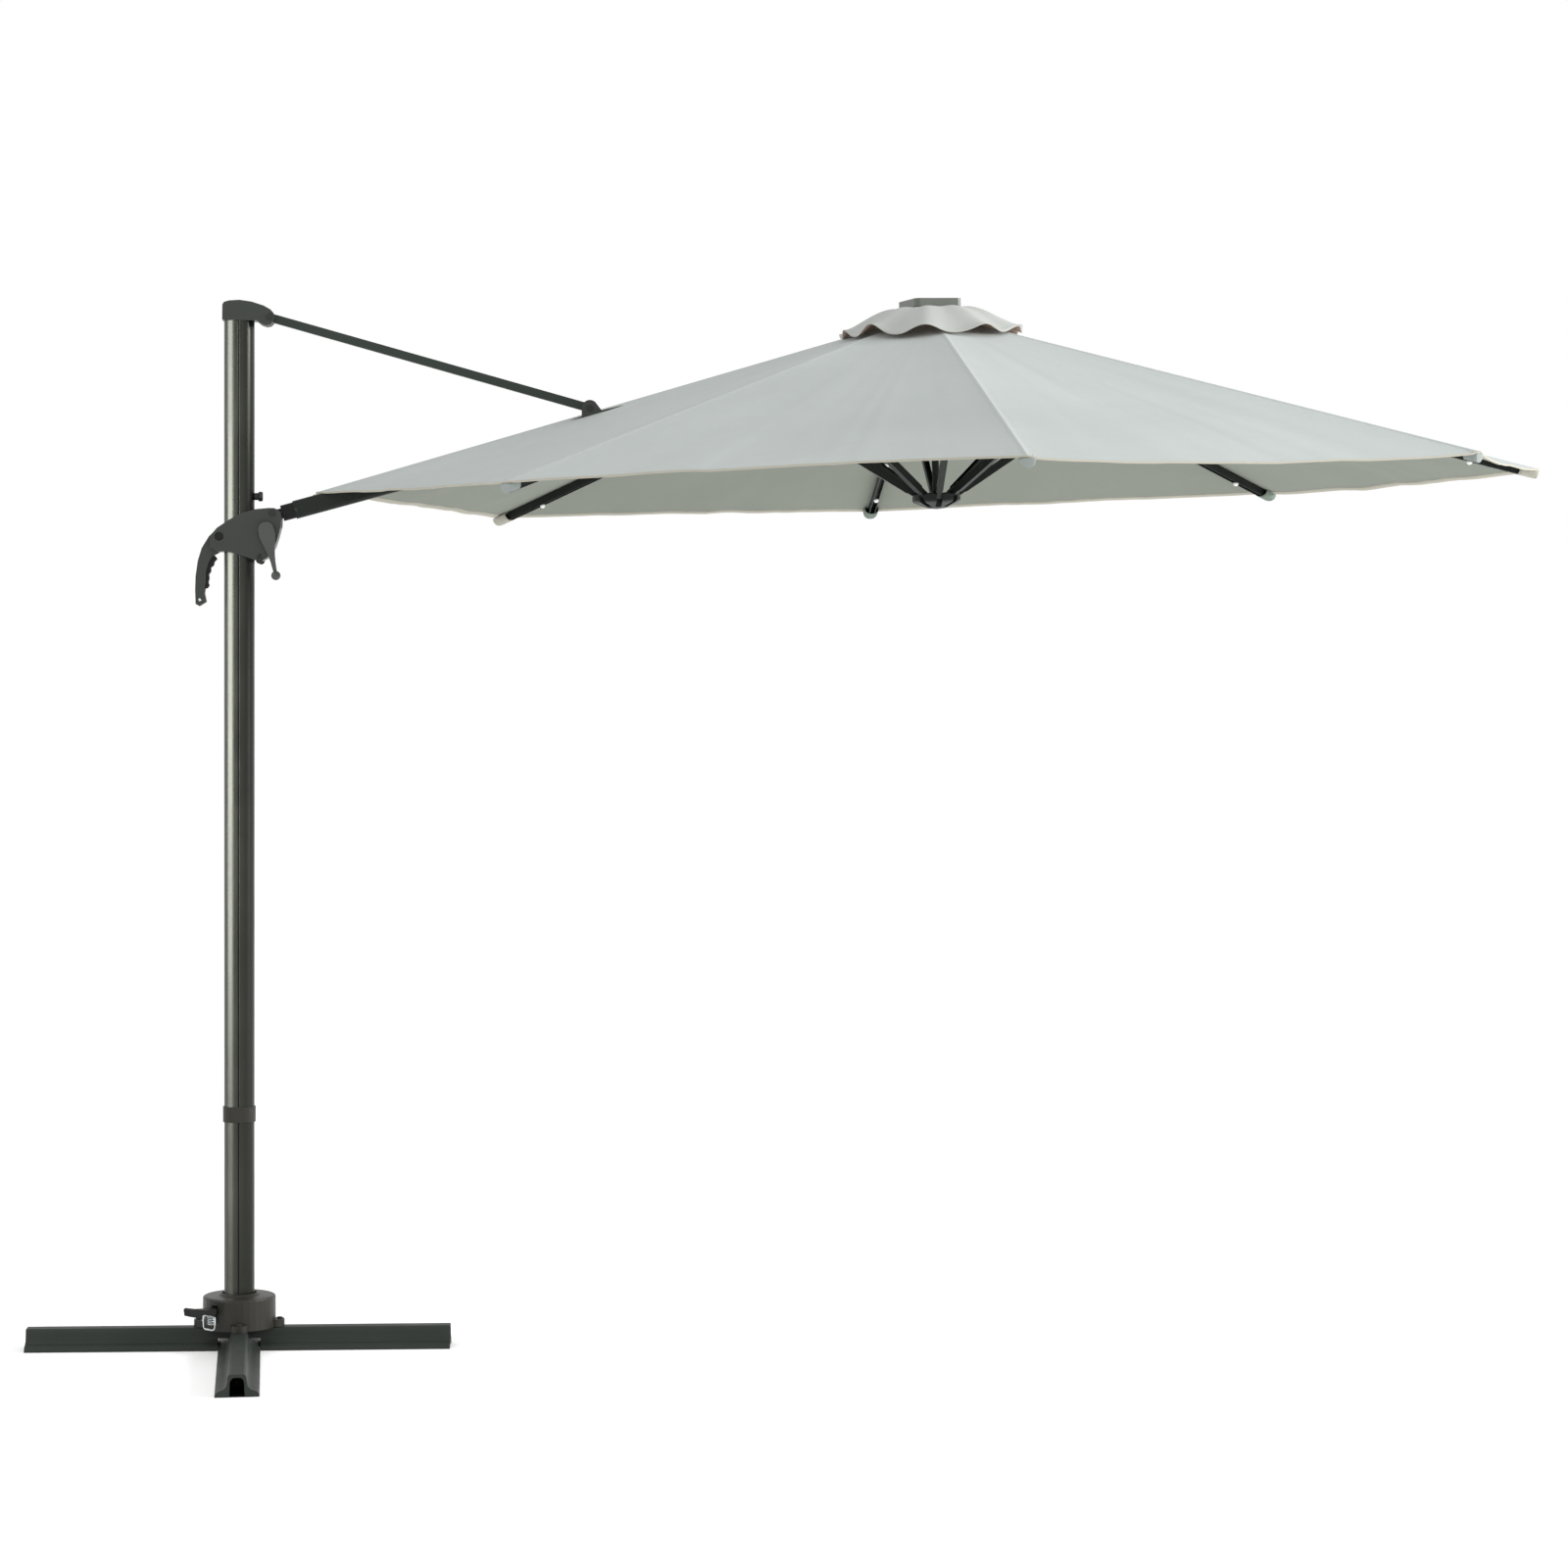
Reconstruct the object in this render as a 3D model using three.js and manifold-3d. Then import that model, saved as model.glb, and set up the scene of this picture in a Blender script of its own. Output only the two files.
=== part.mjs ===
// A cantilever garden parasol with a cross base, built as separate pieces. Millimetres, +Z up.
//
// Everything stands in the mast frame: Z runs up the mast's axis, X points along the arm and z = 0 is the
// ground. The canopy's pieces stand in a frame of their own on the crown, which leans a little. At the end
// the whole group is moved so that the origin is the middle of the foot of its box.
import * as THREE from "three";
import { mergeVertices } from "three/addons/utils/BufferGeometryUtils.js";
import Module from "manifold-3d";

const wasm = await Module();
wasm.setup();

// ---------------------------------------------------------------- driving dimensions

const GAP = 0.3; // between pieces that touch
const FIT = 0.5; // between pieces that slide or turn on each other

const LEG = { height: 50, lapHeight: 25, halfWidth: 49 };
const LONG_LEG = { length: 990, turn: -2 };
const CROSS_LEG = { length: 1180, turn: 93 };
const LEG_TURNS = [LONG_LEG.turn, CROSS_LEG.turn, LONG_LEG.turn + 180, CROSS_LEG.turn + 180];
const FLANGE = { bottom: 50.3, top: 62, radius: 80.2, bore: 42 };
const LUG = { radius: 20, centre: 86, top: 67, boltRadius: 95 };
const BOLT = { shaft: 4, head: 7, headHeight: 4, reach: 31 };
const DRUM = { radius: 85, bottom: 50.3, top: 124, wall: 4, hole: 40, lip: 49, lipTop: 130 };
const SOCKET = { radius: 78, bottom: 69.3, plate: 6, wall: 5, top: 118 };

const MAST = { width: 71, depth: 50, wall: 2.5, bottom: 75.8, joint: 549, top: 2440, groove: 2.2 };
const MAST_CORNER = 24;
const COLLAR = { bottom: 531, top: 567, wall: 2.6 };
const SPIGOT = { bottom: 450, top: 648, wall: 2 };
const STOP = { z: 2000, reach: 19, neck: 8.5, head: 11.5 };

const CAP = { halfDepth: 29, slot: 8, pivot: [72, 2421] };
const ROD = { pivotEnd: [823, 2212], depth: 20, width: 14, eye: 16, slack: 9.5 };
const PIN = { radius: 4, head: 8, headHeight: 3 };

const SLIDER = { halfDepth: 40, wall: 4, gripHalfDepth: 15, roller: 8 };
const SLIDER_BOLT = [-45, 1905];
const SLIDER_RIVET = [49, 1849];
const ARM_PIVOT = [78, 1960];
const CRANK_PIVOT = [65, 1921];
const CRANK_BALL = [88, 1813];

const ARM = { start: [129, 1968.5], slope: 15.4, height: 43, width: 24, wall: 2.2, corner: 9, length: 1470 };

const CANOPY = { centre: [1640, 28, 2412], lean: 2 }; // the crown, at the height of the rib hinges
const RIBS = 8;
const RIB = { hinge: 72, slope: 15.9, armSlope: 14.56, length: 1452, width: 16, height: 20, wall: 1.3 };
const STRUT = { along: 420, below: 20, width: 16, height: 18, wall: 1.3, tongue: 12 };
const RUNNER = { pivot: [40, -406], radius: 57.5, bottom: -422, top: -398, slot: 14, core: 26, tube: 8.5 };
const HUB = { core: 40, bottom: -80, flange: 78, flangeBottom: 14, flangeTop: 22, stem: 24, stemTop: 45.7 };
const FABRIC = { tip: 1475, lift: 14, hole: 130, thickness: 1.0, hemBow: 26, sag: 10 };
const SLIT = { from: -884, to: -752, halfWidth: 17 };
const VENT = { top: 36, shoulders: [[88, 43], [140, 28]], hem: [215, -20], thickness: 1.2 };
const SOLAR = { side: 119, corner: 12, bottom: 46, top: 65, turn: 15, cell: 100 };

const PEDAL = { azimuth: 231, hinge: 92, z: 102, reach: 168, width: 34 };

const rad = THREE.MathUtils.degToRad;

// ---------------------------------------------------------------- materials

function material(color, roughness, metalness) {
  return new THREE.MeshStandardMaterial({ color, roughness, metalness });
}

const PAINT = material(0x3c413d, 0.45, 0.4);
const PLASTIC = material(0x40443f, 0.55, 0.0);
const DRUM_PLASTIC = material(0x44433c, 0.6, 0.0);
const BLACK = material(0x141514, 0.6, 0.0);
const RIB_PAINT = material(0x35393a, 0.45, 0.4);
const CHROME = material(0xc8cccd, 0.15, 1.0);
const CLOTH = material(0xc6cac7, 0.9, 0.0);
const SOLAR_PLASTIC = material(0xaab0ab, 0.5, 0.0);
const CELL = material(0x10141c, 0.15, 0.0);

// ---------------------------------------------------------------- helpers

function solid(geometry) {
  const bare = geometry.clone();
  bare.deleteAttribute("normal");
  bare.deleteAttribute("uv");
  const merged = mergeVertices(bare, 1e-3);
  const mesh = new wasm.Mesh({
    numProp: 3,
    vertProperties: new Float32Array(merged.attributes.position.array),
    triVerts: new Uint32Array(merged.index.array),
  });
  return new wasm.Manifold(mesh);
}

function geometryOf(manifold) {
  const mesh = manifold.getMesh();
  const geometry = new THREE.BufferGeometry();
  geometry.setAttribute("position", new THREE.BufferAttribute(new Float32Array(mesh.vertProperties), 3));
  geometry.setIndex(new THREE.BufferAttribute(new Uint32Array(mesh.triVerts), 1));
  const loose = geometry.toNonIndexed();
  loose.computeVertexNormals();
  return loose;
}

function union(...geometries) {
  return geometryOf(geometries.map(solid).reduce((sum, next) => sum.add(next)));
}

function cut(geometry, ...tools) {
  return geometryOf(tools.map(solid).reduce((rest, tool) => rest.subtract(tool), solid(geometry)));
}

function box(x, y, z) {
  return new THREE.BoxGeometry(x[1] - x[0], y[1] - y[0], z[1] - z[0]).translate(
    (x[0] + x[1]) / 2,
    (y[0] + y[1]) / 2,
    (z[0] + z[1]) / 2,
  );
}

function outline(points) {
  return new THREE.Shape(points.map(([x, y]) => new THREE.Vector2(x, y)));
}

function prism(shape, depth, curveSegments = 8) {
  return new THREE.ExtrudeGeometry(shape, { depth, bevelEnabled: false, curveSegments });
}

// A prism standing on z = low, up to z = high.
function upright(shape, low, high, curveSegments = 8) {
  return prism(shape, high - low, curveSegments).translate(0, 0, low);
}

// A side-view outline in X and Z, extruded in Y from near to far.
function sideways(shape, near, far, curveSegments = 8) {
  return prism(shape, far - near, curveSegments).rotateX(Math.PI / 2).translate(0, far, 0);
}

// A section in Y and Z, extruded along X from start to end.
function alongX(shape, start, end, curveSegments = 8) {
  return prism(shape, end - start, curveSegments)
    .rotateZ(Math.PI / 2)
    .rotateY(Math.PI / 2)
    .translate(start, 0, 0);
}

function lathe(points, segments = 36) {
  const profile = points.map(([r, z]) => new THREE.Vector2(r, z));
  return new THREE.LatheGeometry(profile, segments).rotateX(Math.PI / 2);
}

function ring(inner, outer, low, high, segments = 36) {
  const profile = [
    [inner, low],
    [outer, low],
    [outer, high],
    [inner, high],
    [inner, low],
  ];
  return lathe(profile, segments);
}

function cylinderZ(radius, low, high, segments = 24) {
  return new THREE.CylinderGeometry(radius, radius, high - low, segments)
    .rotateX(Math.PI / 2)
    .translate(0, 0, (low + high) / 2);
}

function cylinderY([x, z], radius, near, far, segments = 24) {
  return new THREE.CylinderGeometry(radius, radius, far - near, segments).translate(x, (near + far) / 2, z);
}

function roundedBox(width, height, corner) {
  const shape = new THREE.Shape();
  const [w, h] = [width / 2, height / 2];
  shape.moveTo(-w + corner, -h);
  shape.lineTo(w - corner, -h);
  shape.absarc(w - corner, -h + corner, corner, -Math.PI / 2, 0);
  shape.lineTo(w, h - corner);
  shape.absarc(w - corner, h - corner, corner, 0, Math.PI / 2);
  shape.lineTo(-w + corner, h);
  shape.absarc(-w + corner, h - corner, corner, Math.PI / 2, Math.PI);
  shape.lineTo(-w, -h + corner);
  shape.absarc(-w + corner, -h + corner, corner, Math.PI, 1.5 * Math.PI);
  return shape;
}

// A closed bar outline with round ends of two radii, along X from 0 to length.
function linkOutline(length, startRadius, endRadius) {
  const turn = Math.asin((startRadius - endRadius) / length);
  const shape = new THREE.Shape();
  shape.absarc(0, 0, startRadius, Math.PI / 2 - turn, 1.5 * Math.PI + turn);
  shape.absarc(length, 0, endRadius, -Math.PI / 2 + turn, Math.PI / 2 - turn);
  return shape;
}

const parasol = new THREE.Group();

function piece(name, geometry, finish, parent = parasol) {
  const mesh = new THREE.Mesh(geometry, finish);
  mesh.name = name;
  parent.add(mesh);
  return mesh;
}

function group(parent, position = [0, 0, 0]) {
  const made = new THREE.Group();
  made.position.set(...position);
  parent.add(made);
  return made;
}

// ---------------------------------------------------------------- cross base

// Half of a pressed channel: a narrow ridge, steep flanks and wings that lie on the ground.
const LEG_OUTER = [
  [0, LEG.height],
  [15, LEG.height],
  [19, 48],
  [20.5, 43],
  [21.5, 32],
  [24, 23],
  [30, 17],
  [40, 13.5],
  [46, 10],
  [LEG.halfWidth, 5],
  [LEG.halfWidth, 0],
];
const LEG_INNER = [
  [17.5, 0],
  [16.5, 14],
  [16, 30],
  [14, 38],
  [9, 42.5],
  [0, 43.5],
];

function legBlank(length) {
  const half = [...LEG_OUTER, ...LEG_INNER];
  const mirrored = half
    .slice(1, -1)
    .map(([y, z]) => [-y, z])
    .reverse();
  return alongX(outline([...half, ...mirrored]), -length / 2, length / 2);
}

function boltHole(turn = 0) {
  return cylinderZ(BOLT.shaft + FIT, 0, LUG.top + 10, 16)
    .translate(LUG.boltRadius, 0, 0)
    .rotateZ(rad(turn));
}

// The two legs are halved into each other: one loses its lower half at the crossing, the other its ridge.
// The crossing isn't quite square, so each notch is turned to follow the other leg.
function leg({ length }, lapLow, lapHigh, skew) {
  const lap = LEG.halfWidth + GAP;
  const notch = box([-lap, lap], [-2 * lap, 2 * lap], [lapLow, lapHigh]).rotateZ(rad(skew));
  return cut(legBlank(length), notch, boltHole(), boltHole(180));
}

function flange() {
  return ring(FLANGE.bore, FLANGE.radius, FLANGE.bottom, FLANGE.top, 40);
}

function bolt() {
  const low = LUG.top + GAP;
  const profile = [
    [0, low - BOLT.reach],
    [BOLT.shaft, low - BOLT.reach],
    [BOLT.shaft, low],
    [BOLT.head, low],
    [BOLT.head, low + BOLT.headHeight * 0.5],
    [BOLT.head * 0.7, low + BOLT.headHeight],
    [0, low + BOLT.headHeight],
  ];
  return lathe(profile, 16).translate(LUG.boltRadius, 0, 0);
}

function buildBase() {
  const skew = CROSS_LEG.turn - LONG_LEG.turn - 90;
  const long = piece("base_leg_long", leg(LONG_LEG, -1, LEG.lapHeight + GAP / 2, skew), PAINT);
  long.rotation.z = rad(LONG_LEG.turn);
  const crossShape = leg(CROSS_LEG, LEG.lapHeight - GAP / 2, LEG.height + 1, -skew);
  const cross = piece("base_leg_cross", crossShape, PAINT);
  cross.rotation.z = rad(CROSS_LEG.turn);
  piece("base_flange", flange(), DRUM_PLASTIC);
  LEG_TURNS.forEach((turn, i) => {
    piece(`flange_bolt_${i + 1}`, bolt(), PAINT).rotation.z = rad(turn);
  });
}

// ---------------------------------------------------------------- mast

// The mast's section: an oval with a V groove down the middle of each broad side.
function mastSection(grow, grooved = true) {
  const [w, d] = [MAST.width / 2 + grow, MAST.depth / 2 + grow];
  const r = Math.min(MAST_CORNER + grow, d);
  const g = grooved ? MAST.groove : 0;
  const shape = new THREE.Shape();
  shape.moveTo(g, -d);
  shape.lineTo(w - r, -d);
  shape.absarc(w - r, -d + r, r, -Math.PI / 2, 0);
  shape.absarc(w - r, d - r, r, 0, Math.PI / 2);
  shape.lineTo(g, d);
  if (grooved) shape.lineTo(0, d - g);
  shape.lineTo(-g, d);
  shape.lineTo(-w + r, d);
  shape.absarc(-w + r, d - r, r, Math.PI / 2, Math.PI);
  shape.absarc(-w + r, -d + r, r, Math.PI, 1.5 * Math.PI);
  shape.lineTo(-g, -d);
  if (grooved) shape.lineTo(0, -d + g);
  return shape;
}

function mastSleeve(outer, inner, low, high, grooved = true) {
  const skin = upright(mastSection(outer, grooved), low, high, 6);
  return cut(skin, upright(mastSection(inner, grooved), low - 1, high + 1, 6));
}

// The drum that hides the turntable, with a rounded lug at its foot over each leg.
function drumCover() {
  const { radius, wall, top, bottom, hole, lip, lipTop } = DRUM;
  const shell = lathe([
    [hole, top - wall],
    [radius - wall, top - wall],
    [radius - wall, bottom],
    [radius, bottom],
    [radius, top - 5],
    [radius - 1.5, top - 2],
    [radius - 5, top - 0.5],
    [lip, top + 1],
    [lip - 4, lipTop - 1],
    [lip - 7, lipTop],
    [hole, lipTop - 1],
    [hole, top - wall],
  ]);
  const lugs = LEG_TURNS.map((turn) => {
    const round = cylinderZ(LUG.radius, bottom, LUG.top, 28);
    return round.translate(LUG.centre, 0, 0).rotateZ(rad(turn));
  });
  const inside = cylinderZ(radius - wall, bottom - 1, LUG.top + 1, 36);
  const pedalSlot = box([radius - 12, radius + 4], [-9, 9], [PEDAL.z - 12, PEDAL.z + 8]);
  const holes = LEG_TURNS.map(boltHole);
  return cut(union(shell, ...lugs), inside, pedalSlot.rotateZ(rad(PEDAL.azimuth)), ...holes);
}

function mastSocket() {
  const plate = cylinderZ(SOCKET.radius, SOCKET.bottom, SOCKET.bottom + SOCKET.plate, 40);
  const well = upright(mastSection(SOCKET.wall, false), SOCKET.bottom + 1, SOCKET.top, 6);
  const room = upright(mastSection(FIT, false), MAST.bottom - GAP, SOCKET.top + 1, 6);
  return cut(union(plate, well), room);
}

function mastCap() {
  const shape = outline([
    [-38.5, 2413],
    [-38, 2449],
    [-34, 2455],
    [-22, 2458.5],
    [2, 2460],
    [30, 2456],
    [58, 2447],
    [74, 2438],
    [81, 2430],
    [83, 2419],
    [80, 2408],
    [74, 2402],
    [64, 2400],
    [52, 2404],
    [42, 2412],
  ]);
  const body = sideways(shape, -CAP.halfDepth, CAP.halfDepth);
  const room = upright(mastSection(FIT, false), 2400, MAST.top + GAP, 6);
  const slot = box([52, 90], [-CAP.slot, CAP.slot], [2395, 2440]);
  return cut(body, room, slot, cylinderY(CAP.pivot, PIN.radius + GAP, -40, 40, 16));
}

function pinThrough(centre, halfLength, radius = PIN.radius, head = PIN.head) {
  const near = cylinderY(centre, head, -halfLength - PIN.headHeight, -halfLength, 16);
  const far = cylinderY(centre, head, halfLength, halfLength + PIN.headHeight, 16);
  return union(cylinderY(centre, radius, -halfLength - 1, halfLength + 1, 16), near, far);
}

function stopKnob() {
  const profile = [
    [0, 0],
    [STOP.neck, 0],
    [STOP.neck, 8],
    [STOP.head, 10],
    [STOP.head, 17],
    [STOP.head - 2, STOP.reach],
    [0, STOP.reach],
  ];
  return lathe(profile, 20)
    .rotateY(Math.PI / 2)
    .translate(MAST.width / 2 + GAP, 0, STOP.z);
}

function buildMast() {
  piece("drum_cover", drumCover(), DRUM_PLASTIC);
  piece("bearing_ring", ring(50, 76, FLANGE.top + GAP, SOCKET.bottom - GAP, 40), BLACK);
  piece("mast_socket", mastSocket(), PAINT);
  piece("mast_lower", mastSleeve(0, -MAST.wall, MAST.bottom, MAST.joint - GAP), PAINT);
  piece("mast_upper", mastSleeve(0, -MAST.wall, MAST.joint, MAST.top), PAINT);
  const spigotOuter = -MAST.wall - GAP - MAST.groove;
  const spigot = mastSleeve(spigotOuter, spigotOuter - SPIGOT.wall, SPIGOT.bottom, SPIGOT.top, false);
  piece("mast_spigot", spigot, PAINT);
  const collar = mastSleeve(GAP + COLLAR.wall, GAP, COLLAR.bottom, COLLAR.top, false);
  piece("mast_collar", collar, PLASTIC);
  piece("mast_cap", mastCap(), PLASTIC);
  piece("cap_pin", pinThrough(CAP.pivot, CAP.halfDepth + GAP), PAINT);
  piece("stop_knob", stopKnob(), BLACK);
}

// ---------------------------------------------------------------- foot pedal of the swivel lock

function buildPedal() {
  const pedal = group(parasol);
  pedal.rotation.z = rad(PEDAL.azimuth);
  const { hinge, z, reach, width } = PEDAL;
  const side = outline([
    [hinge - 14, z - 8],
    [hinge + 12, z - 10],
    [reach - 26, z - 4],
    [reach - 24, z - 12],
    [reach, z - 5],
    [reach + 3, z + 10],
    [reach - 3, z + 13],
    [reach - 34, z + 6],
    [hinge + 8, z + 2],
    [hinge - 14, z + 4],
  ]);
  const tread = sideways(side, -width / 2, width / 2);
  const narrowed = [-1, 1].map((s) => {
    const edges = [s * 7.5, s * (width / 2 + 1)].sort((a, b) => a - b);
    return box([hinge - 20, hinge + 4], edges, [z - 20, z + 20]);
  });
  piece("lock_pedal", cut(tread, ...narrowed), BLACK, pedal);
  const loopHalf = [
    [0, -13],
    [14, -13.5],
    [17.5, -17],
    [18, -23],
    [18, -36],
    [17, -42],
    [13, -45],
  ];
  const otherHalf = loopHalf.slice(1).reverse();
  const loopPoints = [...loopHalf, [0, -45.5], ...otherHalf.map(([y, drop]) => [-y, drop])];
  const loopPath = new THREE.CatmullRomCurve3(
    loopPoints.map(([y, drop]) => new THREE.Vector3(hinge + 11, y, z + drop)),
    true,
  );
  piece("pedal_loop", new THREE.TubeGeometry(loopPath, 36, 2, 8, true), CHROME, pedal);
}

// ---------------------------------------------------------------- slider with its grip and crank

// The slider's side view: a leaf-shaped body whose left end runs down into a curved grip.
const BODY_OUTLINE = [
  [-50, 1925],
  [-22, 1944],
  [10, 1961],
  [40, 1969],
  [72, 1972],
  [88, 1970],
  [97, 1963],
  [100, 1950],
  [99, 1930],
  [92, 1903],
  [85, 1882],
  [77, 1867],
  [67, 1855],
  [55, 1848.5],
  [40, 1849],
  [12, 1859],
  [-10, 1866],
  [-32, 1870],
  [-50, 1869],
  [-66, 1880],
  [-66, 1906],
];
const GRIP_OUTLINE = [
  [-47, 1928],
  [-70, 1906],
  [-87, 1878],
  [-96, 1848],
  [-101, 1812],
  [-102, 1780],
  [-101, 1747],
  [-92, 1742],
  [-76, 1752],
  [-80, 1771],
  [-79, 1786],
  [-77, 1800],
  [-77, 1822],
  [-70, 1846],
  [-60, 1861],
  [-46, 1868],
];
const TRIGGER_OUTLINE = [
  [-57, 1861],
  [-64, 1856],
  [-70.5, 1849],
  [-78.5, 1834],
  [-82, 1820],
  [-81.5, 1800],
  [-81.5, 1783],
  [-74, 1784],
  [-69.5, 1790],
  [-72, 1798],
  [-69.5, 1807],
  [-70.5, 1816],
  [-65.5, 1824],
  [-66, 1832],
  [-59, 1838],
  [-57.5, 1846],
  [-51, 1853],
];

// The groove in the grip that the trigger is pressed into.
const TRIGGER_POCKET = [
  [-48, 1867],
  [-60, 1867],
  [-69, 1859],
  [-76, 1849],
  [-83, 1835],
  [-86.5, 1820],
  [-87, 1800],
  [-87, 1779],
  [-60, 1779],
  [-48, 1820],
];

function scaledOutline(points, [x0, z0], factor) {
  return outline(points.map(([x, z]) => [x0 + factor * (x - x0), z0 + factor * (z - z0)]));
}

// One half of the slider: side is -1 for the near half and 1 for the far one.
function sliderShell(side) {
  const order = (a, b) => (side < 0 ? [-b, -a] : [a, b]);
  const body = sideways(outline(BODY_OUTLINE), ...order(GAP / 2, SLIDER.halfDepth));
  const grip = sideways(outline(GRIP_OUTLINE), ...order(GAP / 2, SLIDER.gripHalfDepth));
  const hollow = scaledOutline(BODY_OUTLINE, [22, 1910], 0.88);
  const room = sideways(hollow, ...order(-1, SLIDER.halfDepth - SLIDER.wall));
  const passage = upright(mastSection(1, false), 1700, 2100, 6);
  const mouth = box([ARM_PIVOT[0], 110], [-14, 14], [1925, 1985]);
  const eyeRoom = cylinderY(ARM_PIVOT, 16, -14, 14);
  const pinHole = (centre) => cylinderY(centre, PIN.radius + GAP, -60, 60, 16);
  const holes = [SLIDER_BOLT, SLIDER_RIVET, ARM_PIVOT].map(pinHole);
  const shaft = cylinderY(CRANK_PIVOT, 5 + FIT, -60, 60, 16);
  const pocket = sideways(outline(TRIGGER_POCKET), -12, 12);
  return cut(union(body, grip), room, passage, mouth, eyeRoom, pocket, shaft, ...holes);
}

function rollerOn([x, z], radius) {
  const profile = [
    [PIN.radius + FIT, -18],
    [radius, -18],
    [radius, 18],
    [PIN.radius + FIT, 18],
    [PIN.radius + FIT, -18],
  ];
  return lathe(profile, 20).rotateX(Math.PI / 2).translate(x, 0, z);
}

function crank() {
  const [dx, dz] = [CRANK_BALL[0] - CRANK_PIVOT[0], CRANK_BALL[1] - CRANK_PIVOT[1]];
  const length = Math.hypot(dx, dz);
  const face = -SLIDER.halfDepth - FIT;
  const halfWidths = [18, 18.5, 15, 10.5, 7.5, 5.5, 4.5, 4];
  const edge = halfWidths.map((half, i) => [(i * length) / (halfWidths.length - 1), half]);
  const shape = outline([...edge, ...edge.map(([x, half]) => [x, -half]).reverse()]);
  const taper = sideways(shape, face - 14, face - 4);
  const arm = union(taper, cylinderY([0, 0], 18, face - 14, face - 4, 32))
    .rotateY(-Math.atan2(dz, dx))
    .translate(CRANK_PIVOT[0], 0, CRANK_PIVOT[1]);
  const boss = cylinderY(CRANK_PIVOT, 12, face - 5, face, 24);
  const shaft = cylinderY(CRANK_PIVOT, 5, face - 1, 30, 16);
  const ball = new THREE.SphereGeometry(11, 20, 14).translate(CRANK_BALL[0], face - 15, CRANK_BALL[1]);
  return union(arm, boss, shaft, ball);
}

function winchSpool() {
  const profile = [
    [5 + GAP, -22],
    [15, -22],
    [15, -19],
    [10, -19],
    [10, 19],
    [15, 19],
    [15, 22],
    [5 + GAP, 22],
    [5 + GAP, -22],
  ];
  return lathe(profile, 24).rotateX(Math.PI / 2).translate(CRANK_PIVOT[0], 0, CRANK_PIVOT[1]);
}

function buildSlider() {
  piece("slider_shell_near", sliderShell(-1), PLASTIC);
  piece("slider_shell_far", sliderShell(1), PLASTIC);
  const half = SLIDER.halfDepth + GAP;
  piece("slider_bolt", pinThrough(SLIDER_BOLT, half, PIN.radius, 10), BLACK);
  piece("slider_rivet", pinThrough(SLIDER_RIVET, half), PAINT);
  piece("arm_pivot_pin", pinThrough(ARM_PIVOT, half), PAINT);
  piece("slider_roller", rollerOn(SLIDER_BOLT, SLIDER.roller), BLACK);
  piece("grip_trigger", sideways(outline(TRIGGER_OUTLINE), -11, 11), BLACK);
  piece("crank", crank(), PLASTIC);
  piece("winch_spool", winchSpool(), BLACK);
}

// ---------------------------------------------------------------- arm and tie rod

function armTube() {
  const skin = alongX(roundedBox(ARM.width, ARM.height, ARM.corner), 0, ARM.length, 5);
  const bore = roundedBox(ARM.width - 2 * ARM.wall, ARM.height - 2 * ARM.wall, ARM.corner - ARM.wall);
  return cut(skin, alongX(bore, -1, ARM.length + 1, 5));
}

function armRoot(pivot) {
  const slack = ARM.wall + FIT;
  const plug = roundedBox(ARM.width - 2 * slack, ARM.height - 2 * slack, ARM.corner - slack);
  const shank = alongX(plug, -30, 70, 5);
  const eye = cylinderY(pivot, 13, -12, 12, 24);
  const neck = box([pivot[0], -20], [-10, 10], [-12, 12]);
  const screw = cylinderY([14, 0], 3 + FIT, -20, 20, 12);
  return cut(union(shank, eye, neck), cylinderY(pivot, PIN.radius + FIT, -20, 20, 16), screw);
}

// The clevis that takes the lower end of the tie rod: two domed cheeks on a saddle.
function armBracket(pivot) {
  const low = ARM.height / 2 + GAP;
  const cheek = new THREE.Shape();
  cheek.moveTo(pivot[0] - 27, low);
  cheek.lineTo(pivot[0] + 32, low);
  cheek.lineTo(pivot[0] + 17, pivot[1] + 8);
  cheek.absarc(pivot[0], pivot[1], 19, 0.45, Math.PI - 0.15);
  const body = sideways(cheek, -12.5, 12.5, 12);
  const slot = box([pivot[0] - 40, pivot[0] + 40], [-8, 8], [low + 4, pivot[1] + 40]);
  return cut(body, slot, cylinderY(pivot, PIN.radius + GAP, -20, 20, 16));
}

function tieRod() {
  const [dx, dz] = [ROD.pivotEnd[0] - CAP.pivot[0], ROD.pivotEnd[1] - CAP.pivot[1]];
  const length = Math.hypot(dx, dz);
  const half = ROD.width / 2;
  const bar = sideways(linkOutline(length, ROD.depth / 2, ROD.depth / 2), -half, half);
  const eye = cylinderY([length, 0], ROD.eye, -half, half, 28);
  const top = cylinderY([0, 0], PIN.radius + FIT, -half - 1, half + 1, 16);
  const bottom = cylinderY([length, 0], ROD.slack, -half - 1, half + 1, 24);
  return cut(union(bar, eye), top, bottom)
    .rotateY(-Math.atan2(dz, dx))
    .translate(CAP.pivot[0], 0, CAP.pivot[1]);
}

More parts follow.
